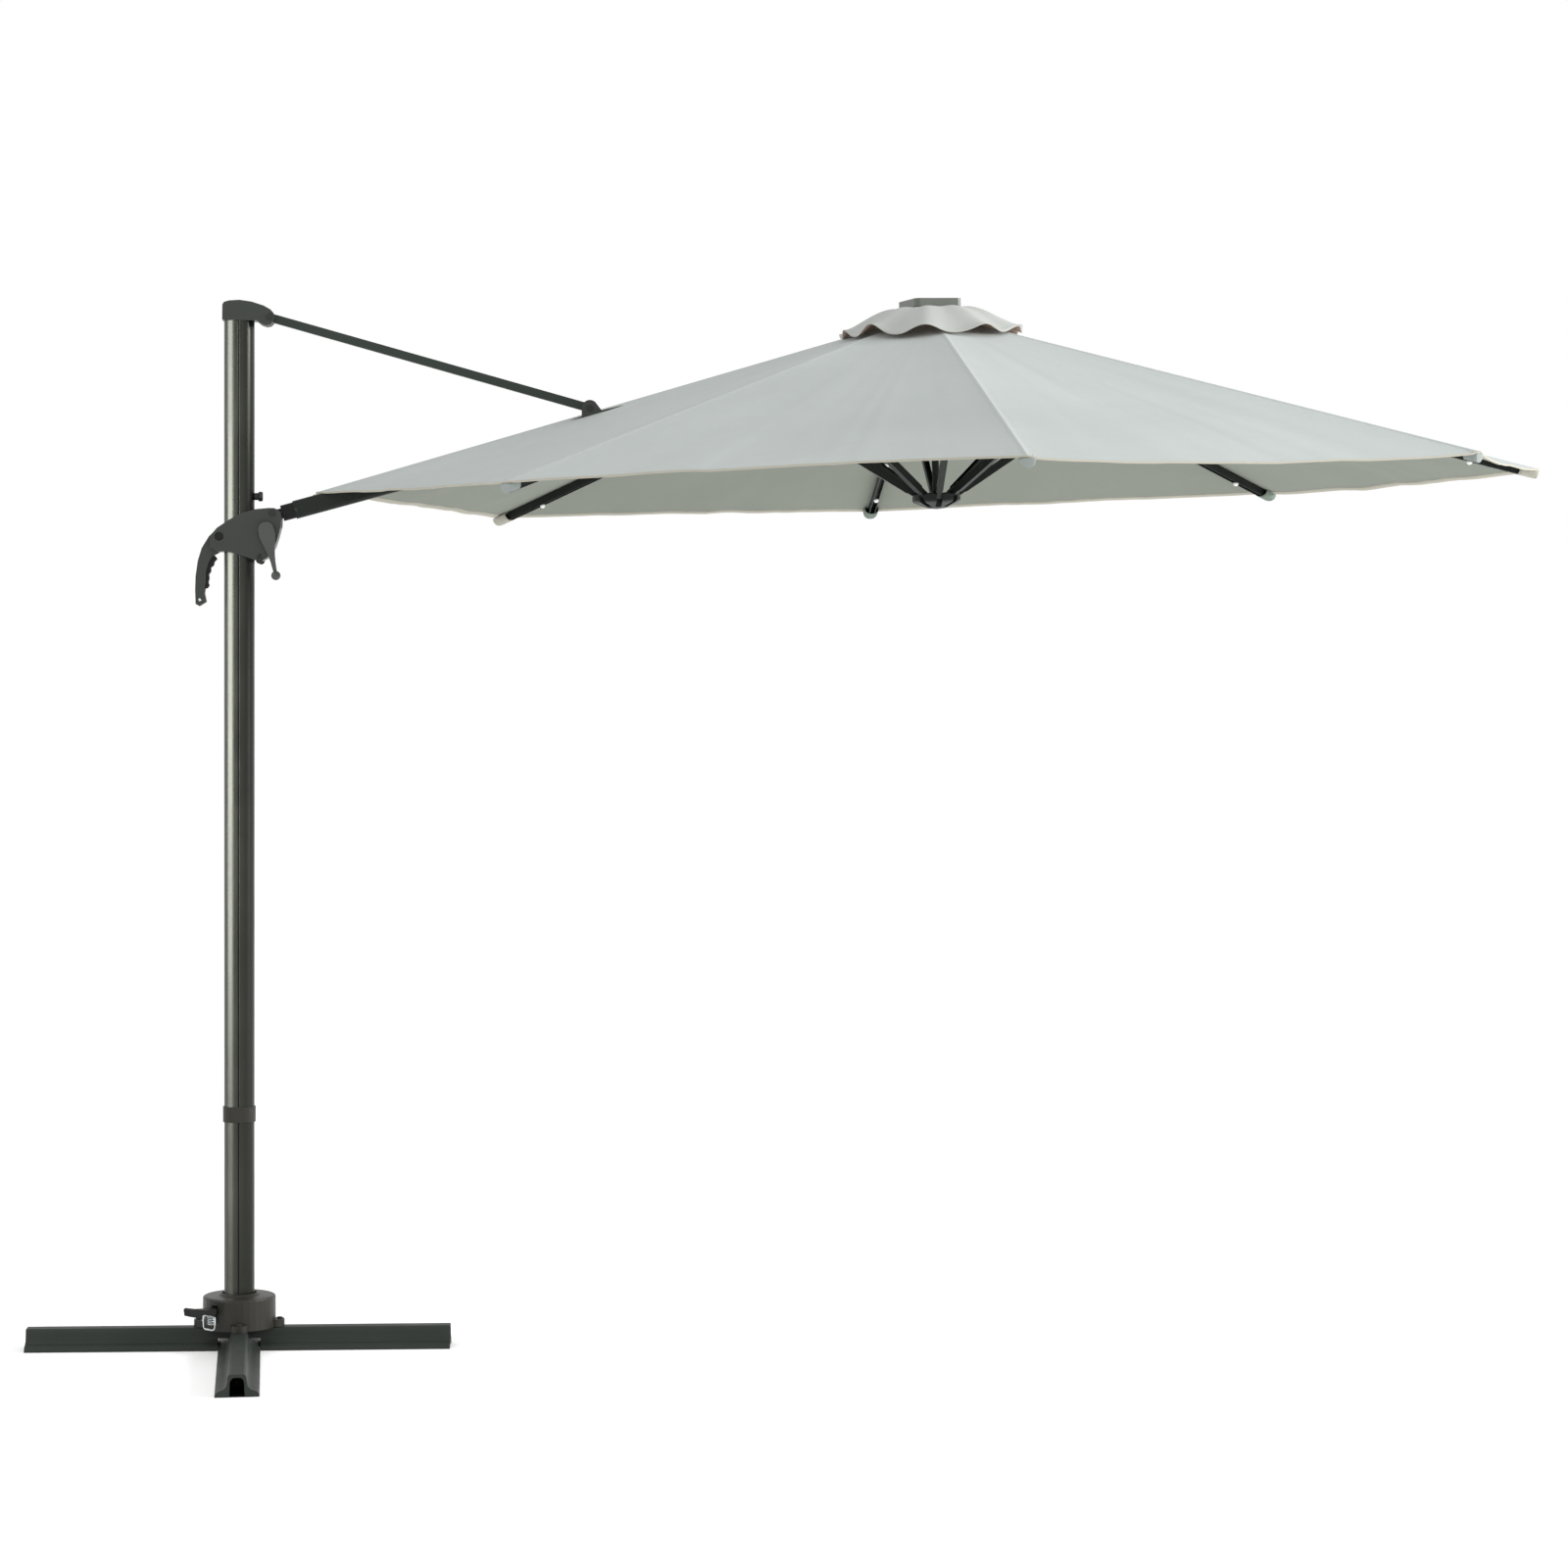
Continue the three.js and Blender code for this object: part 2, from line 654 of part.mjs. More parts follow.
function buildArm() {
  const arm = group(parasol, [ARM.start[0], 0, ARM.start[1]]);
  arm.rotation.y = -rad(ARM.slope);
  const onArm = ([x, z]) => {
    const p = new THREE.Vector3(x - ARM.start[0], 0, z - ARM.start[1]);
    p.applyAxisAngle(new THREE.Vector3(0, 1, 0), rad(ARM.slope));
    return [p.x, p.z];
  };
  piece("arm_tube", armTube(), PAINT, arm);
  piece("arm_root", armRoot(onArm(ARM_PIVOT)), BLACK, arm);
  const pivot = onArm(ROD.pivotEnd);
  piece("arm_bracket", armBracket(pivot), PLASTIC, arm);
  piece("bracket_pin", pinThrough(pivot, 12.5 + GAP, PIN.radius, 7), PAINT, arm);
  piece("tie_rod", tieRod(), PAINT);
}

// ---------------------------------------------------------------- canopy frame

const crown = group(parasol, CANOPY.centre);
crown.rotation.y = -rad(CANOPY.lean);

// A point of the mast frame's middle plane, in the crown's frame.
function onCrown([x, z]) {
  const p = new THREE.Vector3(x - CANOPY.centre[0], 0, z - CANOPY.centre[2]);
  p.applyAxisAngle(new THREE.Vector3(0, 1, 0), rad(CANOPY.lean));
  return [p.x, p.z];
}

const armOnCrown = onCrown(ARM.start);
const armSlope = ARM.slope - CANOPY.lean;

function armAxisHeight(x) {
  return armOnCrown[1] + (x - armOnCrown[0]) * Math.tan(rad(armSlope));
}

function crownHub() {
  const core = lathe([
    [0, HUB.bottom],
    [HUB.core - 6, HUB.bottom],
    [HUB.core, HUB.bottom + 8],
    [HUB.core, HUB.flangeBottom],
    [HUB.flange, HUB.flangeBottom],
    [HUB.flange, HUB.flangeTop],
    [HUB.stem, HUB.flangeTop + 2],
    [HUB.stem, HUB.stemTop],
    [0, HUB.stemTop],
  ]);
  const ears = [];
  for (let i = 0; i < RIBS; i += 1) {
    for (const side of [-1, 1]) {
      const edges = [side * (RIB.width / 2 + FIT), side * (RIB.width / 2 + 4)].sort((a, b) => a - b);
      const ear = box([HUB.core - 4, RIB.hinge + 6], edges, [-7, HUB.flangeBottom + 1]);
      ears.push(ear.rotateZ((i * 2 * Math.PI) / RIBS));
    }
  }
  const cup = cylinderZ(HUB.core - 5, HUB.bottom - 1, -62, 32);
  const slack = ARM.wall + FIT;
  const plug = roundedBox(ARM.width - 2 * slack, ARM.height - 2 * slack, ARM.corner - slack);
  const lugLength = 130;
  const lug = alongX(plug, -lugLength, 0, 5)
    .rotateY(-rad(armSlope))
    .translate(-24, -CANOPY.centre[1], armAxisHeight(-24));
  return cut(union(core, lug, ...ears), cup);
}

// An inverted channel along X, with its ends at start and end.
function channel(width, height, wall, start, end) {
  const [w, h] = [width / 2, height / 2];
  const section = outline([
    [-w, -h],
    [-w + wall, -h],
    [-w + wall, h - wall],
    [w - wall, h - wall],
    [w - wall, -h],
    [w, -h],
    [w, h],
    [-w, h],
  ]);
  return alongX(section, start, end);
}

// A rib along X from its hinge at 0, with a plug at each end and the ears that carry the strut.
function rib() {
  const body = channel(RIB.width, RIB.height, RIB.wall, 12, RIB.length);
  const root = union(
    box([0, 40], [-RIB.width / 2 + 0.01, RIB.width / 2 - 0.01], [-8, 8]),
    cylinderY([0, 0], 8, -RIB.width / 2 + 0.01, RIB.width / 2 - 0.01, 16),
  );
  const tip = box(
    [RIB.length - 30, RIB.length - 0.5],
    [-RIB.width / 2 + 1, RIB.width / 2 - 1],
    [-RIB.height / 2 + 1, RIB.height / 2 - 1],
  );
  const ears = [-1, 1].map((side) => {
    const ear = new THREE.Shape();
    ear.moveTo(STRUT.along + 16, 6);
    ear.lineTo(STRUT.along - 16, 6);
    ear.lineTo(STRUT.along - 9, -STRUT.below);
    ear.absarc(STRUT.along, -STRUT.below, 9, Math.PI, 2 * Math.PI);
    const edges = [side * (RIB.width / 2 - 0.5), side * (RIB.width / 2 + 2.5)].sort((a, b) => a - b);
    return sideways(ear, ...edges);
  });
  return union(body, root, tip, ...ears);
}

// The rib beside the arm lies a little flatter than the others, because the arm holds it up.
const ARM_SPOKE = RIBS / 2;

function ribSlope(spoke) {
  return rad(spoke === ARM_SPOKE ? RIB.armSlope : RIB.slope);
}

// The strut's pivot on its rib, in the plane of the rib.
function strutTop(slope) {
  return [
    RIB.hinge + STRUT.along * Math.cos(slope) - STRUT.below * Math.sin(slope),
    -STRUT.along * Math.sin(slope) - STRUT.below * Math.cos(slope),
  ];
}

// A strut along X from its pivot on the rib to its pivot on the runner.
function strut(length) {
  const body = channel(STRUT.width - 2, STRUT.height, STRUT.wall, 10, length - 32);
  const half = STRUT.tongue / 2;
  const top = union(
    box([0, 40], [-half, half], [-7, 7.4]),
    cylinderY([0, 0], 7.4, -half, half, 16),
  );
  const foot = union(
    box([length - 60, length], [-half, half], [-7, 7.4]),
    cylinderY([length, 0], 7.4, -half, half, 16),
  );
  return union(body, top, foot);
}

function runner() {
  const { radius, bottom, top, slot, core } = RUNNER;
  const disc = lathe([
    [0, bottom - 14],
    [20, bottom - 12],
    [radius - 4, bottom + 2],
    [radius, bottom + 6],
    [radius, top - 3],
    [radius - 3, top],
    [0, top],
  ]);
  const slots = [];
  for (let i = 0; i < RIBS; i += 1) {
    const notch = box([core, radius + 10], [-slot / 2, slot / 2], [bottom - 30, top + 10]);
    slots.push(notch.rotateZ((i * 2 * Math.PI) / RIBS));
  }
  return cut(disc, ...slots);
}

function solarHousing() {
  const shape = roundedBox(SOLAR.side, SOLAR.side, SOLAR.corner);
  const body = upright(shape, SOLAR.bottom, SOLAR.top, 3);
  const recess = roundedBox(SOLAR.cell + 1, SOLAR.cell + 1, 4);
  return cut(body, upright(recess, SOLAR.top - 2.5, SOLAR.top + 1, 3)).rotateZ(rad(SOLAR.turn));
}

function buildCanopyFrame() {
  piece("crown_hub", crownHub(), PLASTIC, crown);
  const ribGeometry = rib();
  for (let i = 0; i < RIBS; i += 1) {
    const spoke = group(crown);
    spoke.rotation.z = (-i * 2 * Math.PI) / RIBS;
    const slope = ribSlope(i);
    const ribMesh = piece(`rib_${i + 1}`, ribGeometry, RIB_PAINT, spoke);
    ribMesh.position.set(RIB.hinge, 0, 0);
    ribMesh.rotation.y = slope;
    const [x, z] = strutTop(slope);
    const [dx, dz] = [x - RUNNER.pivot[0], z - RUNNER.pivot[1]];
    const strutMesh = piece(`strut_${i + 1}`, strut(Math.hypot(dx, dz)), RIB_PAINT, spoke);
    strutMesh.position.set(x, 0, z);
    strutMesh.rotation.y = Math.PI - Math.atan2(dz, dx);
  }
  piece("runner", runner(), PLASTIC, crown);
  const tube = cylinderZ(RUNNER.tube, RUNNER.top + GAP, HUB.bottom - 4, 20);
  piece("runner_tube", tube, RIB_PAINT, crown);
  piece("solar_housing", solarHousing(), SOLAR_PLASTIC, crown);
  const cell = upright(roundedBox(SOLAR.cell, SOLAR.cell, 4), SOLAR.top - 2.5 + GAP, SOLAR.top + 0.5, 3);
  piece("solar_cell", cell.rotateZ(rad(SOLAR.turn)), CELL, crown);
}

// ---------------------------------------------------------------- cloth

// A closed thin shell between an upper surface and the same surface a thickness lower.
// point(i, j) gives row i (from the middle to the hem) and column j (around).
function clothShell(rows, columns, thickness, point) {
  const positions = [];
  const triangle = (a, b, c) => positions.push(...a, ...b, ...c);
  const quad = (a, b, c, d) => {
    triangle(a, b, c);
    triangle(a, c, d);
  };
  const lower = ([x, y, z]) => [x, y, z - thickness];
  for (let j = 0; j < columns; j += 1) {
    for (let i = 0; i < rows; i += 1) {
      const [a, b] = [point(i, j), point(i + 1, j)];
      const [c, d] = [point(i + 1, (j + 1) % columns), point(i, (j + 1) % columns)];
      quad(a, b, c, d);
      quad(lower(a), lower(d), lower(c), lower(b));
    }
    const [innerA, innerB] = [point(0, j), point(0, (j + 1) % columns)];
    quad(innerA, innerB, lower(innerB), lower(innerA));
    const [outerA, outerB] = [point(rows, j), point(rows, (j + 1) % columns)];
    quad(outerB, outerA, lower(outerA), lower(outerB));
  }
  const geometry = new THREE.BufferGeometry();
  geometry.setAttribute("position", new THREE.Float32BufferAttribute(positions, 3));
  geometry.computeVertexNormals();
  return geometry;
}

// The height of a seam, which runs down over its rib.
function seamHeight(index, radius) {
  return FABRIC.lift - (radius - RIB.hinge) * Math.tan(ribSlope(index % RIBS));
}

function mainCanopy() {
  const rows = 9;
  const steps = 5;
  const seam = (index, radius) => {
    const angle = (index * 2 * Math.PI) / RIBS;
    return [radius * Math.cos(angle), radius * Math.sin(angle), seamHeight(index, radius)];
  };
  const point = (i, j) => {
    const gore = Math.floor(j / steps);
    const share = j / steps - gore;
    const along = i / rows;
    const bow = 4 * share * (1 - share);
    const radius = FABRIC.hole + (FABRIC.tip - FABRIC.hole) * along;
    const [a, b] = [seam(gore, radius), seam(gore + 1, radius)];
    const inward = 1 - (FABRIC.hemBow * bow * along ** 3) / radius;
    const x = (a[0] + (b[0] - a[0]) * share) * inward;
    const y = (a[1] + (b[1] - a[1]) * share) * inward;
    return [x, y, a[2] + (b[2] - a[2]) * share - FABRIC.sag * bow * Math.sin(Math.PI * along)];
  };
  const shell = clothShell(rows, RIBS * steps, FABRIC.thickness, point);
  const middle = -CANOPY.centre[1];
  const opening = box([SLIT.from, SLIT.to], [middle - SLIT.halfWidth, middle + SLIT.halfWidth], [-400, 0]);
  return cut(shell, opening);
}

function ventCanopy() {
  const profile = [[HUB.stem + 1, VENT.top], ...VENT.shoulders, VENT.hem];
  const columns = 32;
  const point = (i, j) => {
    const angle = (j * 2 * Math.PI) / columns;
    const [r, z] = profile[i];
    return [r * Math.cos(angle), r * Math.sin(angle), z];
  };
  return clothShell(profile.length - 1, columns, VENT.thickness, point);
}

function buildCloth() {
  piece("canopy", mainCanopy(), CLOTH, crown);
  piece("vent_canopy", ventCanopy(), CLOTH, crown);
}

// ---------------------------------------------------------------- assembly

buildBase();
buildMast();
buildPedal();
buildSlider();
buildArm();
buildCanopyFrame();
buildCloth();

parasol.updateMatrixWorld(true);
const bounds = new THREE.Box3().setFromObject(parasol, true);
const middle = bounds.getCenter(new THREE.Vector3());
parasol.position.set(-middle.x, -middle.y, -bounds.min.z);

export default parasol;
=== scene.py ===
"""A cantilever parasol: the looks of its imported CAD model, with cloth, stitching, lights and a camera."""

import math

import bpy
from mathutils import Matrix, Vector, noise


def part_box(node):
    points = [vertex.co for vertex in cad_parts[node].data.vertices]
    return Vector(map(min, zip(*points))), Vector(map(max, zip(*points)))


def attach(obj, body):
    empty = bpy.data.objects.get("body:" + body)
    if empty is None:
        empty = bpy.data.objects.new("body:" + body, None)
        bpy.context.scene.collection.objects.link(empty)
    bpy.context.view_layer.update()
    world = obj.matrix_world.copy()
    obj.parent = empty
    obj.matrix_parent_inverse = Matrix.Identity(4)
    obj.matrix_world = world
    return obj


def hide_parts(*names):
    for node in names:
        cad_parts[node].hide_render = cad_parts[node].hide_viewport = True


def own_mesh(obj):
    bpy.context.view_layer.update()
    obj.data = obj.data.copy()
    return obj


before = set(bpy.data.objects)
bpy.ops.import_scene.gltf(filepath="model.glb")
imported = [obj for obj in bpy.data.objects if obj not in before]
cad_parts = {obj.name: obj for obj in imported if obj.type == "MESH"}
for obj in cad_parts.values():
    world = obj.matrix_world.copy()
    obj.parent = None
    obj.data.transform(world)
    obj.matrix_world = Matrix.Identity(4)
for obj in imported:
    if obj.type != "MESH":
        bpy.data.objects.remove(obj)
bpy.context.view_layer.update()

# ---------------------------------------------------------------- places and sizes, in metres

mast_low, mast_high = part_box("mast_upper")
MAST = Vector(((mast_low[0] + mast_high[0]) / 2, (mast_low[1] + mast_high[1]) / 2, 0.0))
LEAN = math.radians(2.0)
CROWN = Matrix.Translation(MAST + Vector((1.640, 0.028, 2.412))) @ Matrix.Rotation(-LEAN, 4, "Y")

# How strongly the mast's flat sides are shaded as if they were curved.
OVAL = 4.5

SPOKES = 8
ARM_SPOKE = SPOKES // 2
STEP = 2 * math.pi / SPOKES
RIB_SLOPE = math.radians(15.9)
ARM_RIB_SLOPE = math.radians(14.56)
# The rib hinges' distance from the crown's axis, and a rib's length from its hinge.
HINGE = 0.072
RIB_LENGTH = 1.452
# The cloth's outer radius at the seams, its height above the ribs, and the radius of its middle hole.
TIP, LIFT, HOLE = 1.475, 0.014, 0.118
# How far the hem curves in between the tips, and how far a panel sags between its ribs.
HEM_BOW, SAG = 0.024, 0.010
# How far each panel's hem hangs below the line between its two tips, going round from the far right.
HEM_DROPS = (0.012, 0.001, -0.002, 0.0, 0.0, -0.006, 0.016, 0.004)
CLOTH = 0.0012
# The slit for the arm's bracket: the radius of its middle, and half its length and width.
SLIT_MIDDLE, SLIT_HALF_LENGTH, SLIT_HALF_WIDTH = 0.818, 0.064, 0.0165


def srgb(r, g, b):
    """A linear RGBA colour for 8-bit sRGB values."""
    out = []
    for value in (r, g, b):
        v = value / 255
        out.append(v / 12.92 if v <= 0.04045 else ((v + 0.055) / 1.055) ** 2.4)
    return (*out, 1.0)


# ---------------------------------------------------------------- materials


class Tree:
    """A material's node tree, with short calls for adding nodes and links."""

    def __init__(self, name):
        self.material = bpy.data.materials.new(name)
        self.material.use_nodes = True
        self.tree = self.material.node_tree
        self.shader = self.tree.nodes["Principled BSDF"]
        self.output = self.tree.nodes["Material Output"]

    def node(self, kind, inputs=None, **settings):
        made = self.tree.nodes.new(kind)
        for key, value in settings.items():
            setattr(made, key, value)
        for key, value in (inputs or {}).items():
            if isinstance(value, bpy.types.NodeSocket):
                self.tree.links.new(value, made.inputs[key])
            else:
                made.inputs[key].default_value = value
        return made

    def noise(self, vector, scale, detail=4.0, rough=0.55):
        inputs = {"Vector": vector, "Scale": scale, "Detail": detail, "Roughness": rough}
        return self.node("ShaderNodeTexNoise", inputs).outputs["Fac"]

    def math(self, operation, a, b=0.0, c=0.0, clamp=False):
        made = self.node("ShaderNodeMath", operation=operation, use_clamp=clamp)
        for i, value in enumerate((a, b, c)):
            if isinstance(value, bpy.types.NodeSocket):
                self.tree.links.new(value, made.inputs[i])
            else:
                made.inputs[i].default_value = value
        return made.outputs[0]

    def range(self, value, low, high, to_low=0.0, to_high=1.0):
        inputs = {"Value": value, "From Min": low, "From Max": high, "To Min": to_low, "To Max": to_high}
        return self.node("ShaderNodeMapRange", inputs).outputs[0]

    def mix(self, factor, a, b, blend="MIX"):
        made = self.node("ShaderNodeMix", data_type="RGBA", blend_type=blend)
        for index, value in ((0, factor), (6, a), (7, b)):
            if isinstance(value, bpy.types.NodeSocket):
                self.tree.links.new(value, made.inputs[index])
            else:
                made.inputs[index].default_value = value
        return made.outputs[2]

    def bump(self, height, strength, distance, normal=None):
        inputs = {"Height": height, "Strength": strength, "Distance": distance}
        if normal is not None:
            inputs["Normal"] = normal
        return self.node("ShaderNodeBump", inputs).outputs[0]

    def set(self, **inputs):
        for key, value in inputs.items():
            socket = self.shader.inputs[key.replace("_", " ")]
            if isinstance(value, bpy.types.NodeSocket):
                self.tree.links.new(value, socket)
            else:
                socket.default_value = value

    def place(self):
        return self.node("ShaderNodeTexCoord").outputs["Object"]

    def uv(self, name="Cloth"):
        place = self.node("ShaderNodeUVMap", uv_map=name).outputs[0]
        split = self.node("ShaderNodeSeparateXYZ", {"Vector": place})
        return split.outputs[0], split.outputs[1]


def shaded(color, factor):
    return (*[min(1.0, c * factor) for c in color[:3]], 1.0)


def coated(name, color, roughness, grain, metallic=0.0, specular=0.25, contrast=0.12, dust=0.06, oval=False):
    """A painted, moulded or cast surface: grain in the bump, and soft clouds in the colour and roughness.

    With oval, the shading turns a little across the mast's flat sides, as if they were slightly curved.
    """
    t = Tree(name)
    place = t.place()
    clouds = t.noise(place, 9.0, 5.0)
    fine = t.noise(place, grain[0], 2.0, 0.5)
    tone = t.mix(clouds, shaded(color, 1 - contrast), shaded(color, 1 + contrast))
    worn = t.range(t.noise(place, 55.0, 6.0, 0.7), 0.58, 0.75, 0.0, dust)
    tone = t.mix(worn, tone, shaded(color, 2.2))
    rough = t.range(clouds, 0.3, 0.7, roughness - 0.05, roughness + 0.06)
    rough = t.math("ADD", rough, t.range(fine, 0.3, 0.7, -0.03, 0.03))
    t.set(Base_Color=tone, Roughness=rough, Metallic=metallic, Specular_IOR_Level=specular)
    normal = t.bump(fine, grain[1], grain[2])
    if oval:
        x = t.node("ShaderNodeSeparateXYZ", {"Vector": place}).outputs[0]
        across = t.math("SUBTRACT", x, MAST.x)
        height = t.math("MULTIPLY", t.math("MULTIPLY", across, across), -OVAL)
        normal = t.bump(height, 1.0, 1.0, normal)
    t.set(Normal=normal)
    return t.material


def plated(name, color, roughness):
    """Bright plated steel with faint brushing and small specks."""
    t = Tree(name)
    place = t.place()
    brushed = t.node("ShaderNodeMapping", {"Vector": place, "Scale": (40, 900, 900)}).outputs[0]
    lines = t.noise(brushed, 1.0, 3.0)
    specks = t.range(t.noise(place, 260.0, 3.0), 0.66, 0.72)
    t.set(Base_Color=t.mix(specks, color, shaded(color, 0.45)), Metallic=1.0)
    t.set(Roughness=t.range(lines, 0.2, 0.8, roughness - 0.05, roughness + 0.12))
    t.set(Normal=t.bump(lines, 0.15, 0.0002))
    return t.material


def woven(name, color, seam, through, stitched=True):
    """Canopy cloth: a fine weave, cloudy colour, lighter seams with stitches, and some light let through."""
    t = Tree(name)
    u, v = t.uv()
    place = t.place()
    across = t.math("SINE", t.math("MULTIPLY", u, 2 * math.pi / 0.0011))
    along = t.math("SINE", t.math("MULTIPLY", v, 2 * math.pi / 0.0011))
    weave = t.math("MULTIPLY", across, along)
    drawn = t.node("ShaderNodeMapping", {"Vector": place, "Scale": (30, 30, 400)}).outputs[0]
    slub = t.noise(drawn, 1.0, 3.0)
    clouds = t.noise(place, 2.3, 4.0)
    mottle = t.noise(place, 38.0, 4.0, 0.6)
    tone = t.mix(t.range(clouds, 0.3, 0.7), shaded(color, 0.955), shaded(color, 1.035))
    tone = t.mix(t.range(mottle, 0.35, 0.65, 0.0, 0.10), tone, shaded(color, 0.86))
    height = t.math("ADD", t.math("MULTIPLY", weave, 0.5), t.math("MULTIPLY", slub, 0.6))
    if stitched:
        edge = t.math("ABSOLUTE", u)
        band = t.math("LESS_THAN", edge, 0.0075)
        tone = t.mix(t.math("MULTIPLY", band, 0.5), tone, seam)
        dash = t.math("GREATER_THAN", t.math("FRACT", t.math("DIVIDE", v, 0.004)), 0.3)
        row = t.math("LESS_THAN", t.math("ABSOLUTE", t.math("SUBTRACT", edge, 0.006)), 0.0007)
        thread = t.math("MULTIPLY", dash, row)
        tone = t.mix(t.math("MULTIPLY", thread, 0.5), tone, shaded(seam, 0.62))
        height = t.math("ADD", height, t.math("MULTIPLY", thread, 1.2))
        scaled = t.node("ShaderNodeMapping", {"Vector": place, "Scale": (60, 60, 60)}).outputs[0]
        pucker = t.noise(scaled, 1.0, 2.0)
        near = t.range(edge, 0.004, 0.045, 1.0, 0.0)
        broad = t.bump(t.math("MULTIPLY", pucker, near), 0.35, 0.004)
    else:
        broad = t.bump(mottle, 0.1, 0.002)
    t.set(Base_Color=tone, Roughness=0.82, Sheen_Weight=0.06, Sheen_Roughness=0.5, Specular_IOR_Level=0.25)
    t.set(Normal=t.bump(height, 0.25, 0.0002, broad))
    if through:
        lit = t.node("ShaderNodeBsdfTranslucent", {"Color": tone})
        both = t.node("ShaderNodeMixShader", {0: through, 1: t.shader.outputs[0], 2: lit.outputs[0]})
        t.tree.links.new(both.outputs[0], t.output.inputs[0])
    return t.material


TOP = woven("cloth_top", srgb(175, 181, 179), srgb(180, 186, 183), 0.10)
# The underside is the top cloth made darker and warmer: painted shade under the canopy.
UNDER = woven("cloth_under", srgb(127, 132, 122), srgb(123, 127, 117), 0.10)
HEM = woven("cloth_hem", srgb(172, 169, 156), srgb(172, 169, 156), 0.1, stitched=False)
VENT_TOP = woven("vent_top", srgb(172, 175, 171), srgb(172, 175, 171), 0.10, stitched=False)
VENT_UNDER = woven("vent_under", srgb(214, 190, 176), srgb(214, 190, 176), 0.3, stitched=False)
POCKET = woven("pocket_cream", srgb(170, 168, 156), srgb(170, 168, 156), 0.1, stitched=False)
# The pockets on the camera's side: the pocket cloth darkened, painted shade.
POCKET_PAINTED_SHADE = woven("pocket_painted_shade", srgb(142, 149, 146), srgb(142, 149, 146), 0.1, stitched=False)
POCKET_GREEN = woven("pocket_green", srgb(112, 124, 114), srgb(112, 124, 114), 0.1, stitched=False)
PAINT = coated("paint_dark_grey", srgb(46, 51, 47), 0.4, (1400.0, 0.10, 0.0004), metallic=0.4)
LEG_PAINT = coated("paint_legs", srgb(45, 50, 46), 0.5, (1400.0, 0.10, 0.0004), specular=0.15)
MAST_PAINT = coated("paint_mast", srgb(44, 45, 41), 0.34, (1600.0, 0.04, 0.0003), metallic=0.85, oval=True)
ROD_PAINT = coated("paint_rod", srgb(54, 60, 56), 0.36, (1500.0, 0.06, 0.0003), metallic=0.6)
RIB_PAINT = coated("paint_ribs", srgb(32, 36, 33), 0.4, (1500.0, 0.06, 0.0003), metallic=0.3, specular=0.2)
PLASTIC = coated("moulded_grey", srgb(47, 51, 47), 0.36, (1100.0, 0.10, 0.0004), specular=0.35)
RUNNER = coated("moulded_dark", srgb(22, 28, 25), 0.4, (1100.0, 0.10, 0.0004), specular=0.25)
CRANK = coated("crank_grey", srgb(66, 69, 65), 0.34, (1100.0, 0.08, 0.0004), specular=0.35)
DRUM = coated(
    "drum_grey", srgb(38, 37, 32), 0.42, (900.0, 0.06, 0.0004), specular=0.3, contrast=0.05, dust=0.03,
)
BLACK = coated("moulded_black", srgb(20, 21, 20), 0.5, (1000.0, 0.2, 0.0006), specular=0.2)
ZINC = plated("plated_steel", srgb(205, 210, 212), 0.2)
SOLAR = coated("solar_housing", srgb(88, 92, 85), 0.35, (1200.0, 0.08, 0.0003), specular=0.5)
LENS = coated(
    "led_lens", srgb(236, 238, 236), 0.25, (800.0, 0.04, 0.0002), specular=0.5, contrast=0.02, dust=0.0,
)


def solar_cells():
    """Dark cells under glass, with fine silver fingers and two busbars."""
    t = Tree("solar_cells")
    split = t.node("ShaderNodeSeparateXYZ", {"Vector": t.place()})
    fingers = t.math("LESS_THAN", t.math("FRACT", t.math("DIVIDE", split.outputs[0], 0.0035)), 0.09)
    bars = t.math("LESS_THAN", t.math("FRACT", t.math("DIVIDE", split.outputs[1], 0.026)), 0.06)
    lines = t.math("MAXIMUM", fingers, bars)
    clouds = t.noise(t.place(), 60.0, 3.0)
    cell = t.mix(clouds, srgb(16, 20, 34), srgb(26, 34, 54))
    t.set(Base_Color=t.mix(t.math("MULTIPLY", lines, 0.7), cell, srgb(150, 156, 160)))
    t.set(Roughness=t.range(clouds, 0.3, 0.7, 0.16, 0.24), Coat_Weight=1.0, Coat_Roughness=0.04)
    return t.material


CELLS = solar_cells()

FINISHES = {
    "base_leg_long": LEG_PAINT,
    "base_leg_cross": LEG_PAINT,
    "base_flange": DRUM,
    "drum_cover": DRUM,
    "bearing_ring": BLACK,
    "pedal_loop": ZINC,
    "lock_pedal": BLACK,
    "mast_collar": DRUM,
    "mast_cap": PLASTIC,
    "stop_knob": PAINT,
    "cap_pin": PAINT,
    "tie_rod": ROD_PAINT,
    "arm_tube": RIB_PAINT,
    "arm_root": BLACK,
    "arm_bracket": PLASTIC,
    "bracket_pin": PAINT,
    "crown_hub": PLASTIC,
    "runner": RUNNER,
    "runner_tube": RIB_PAINT,
    "crank": CRANK,
    "winch_spool": BLACK,
    "grip_trigger": BLACK,
    "slider_roller": PLASTIC,
    "slider_bolt": BLACK,
    "slider_rivet": PAINT,
    "arm_pivot_pin": PAINT,
    "solar_housing": SOLAR,
    "solar_cell": CELLS,
}
PREFIXES = {
    "flange_bolt": PAINT,
    "rib_": RIB_PAINT,
    "strut_": RIB_PAINT,
    "slider_shell": PLASTIC,
    "mast_": MAST_PAINT,
}
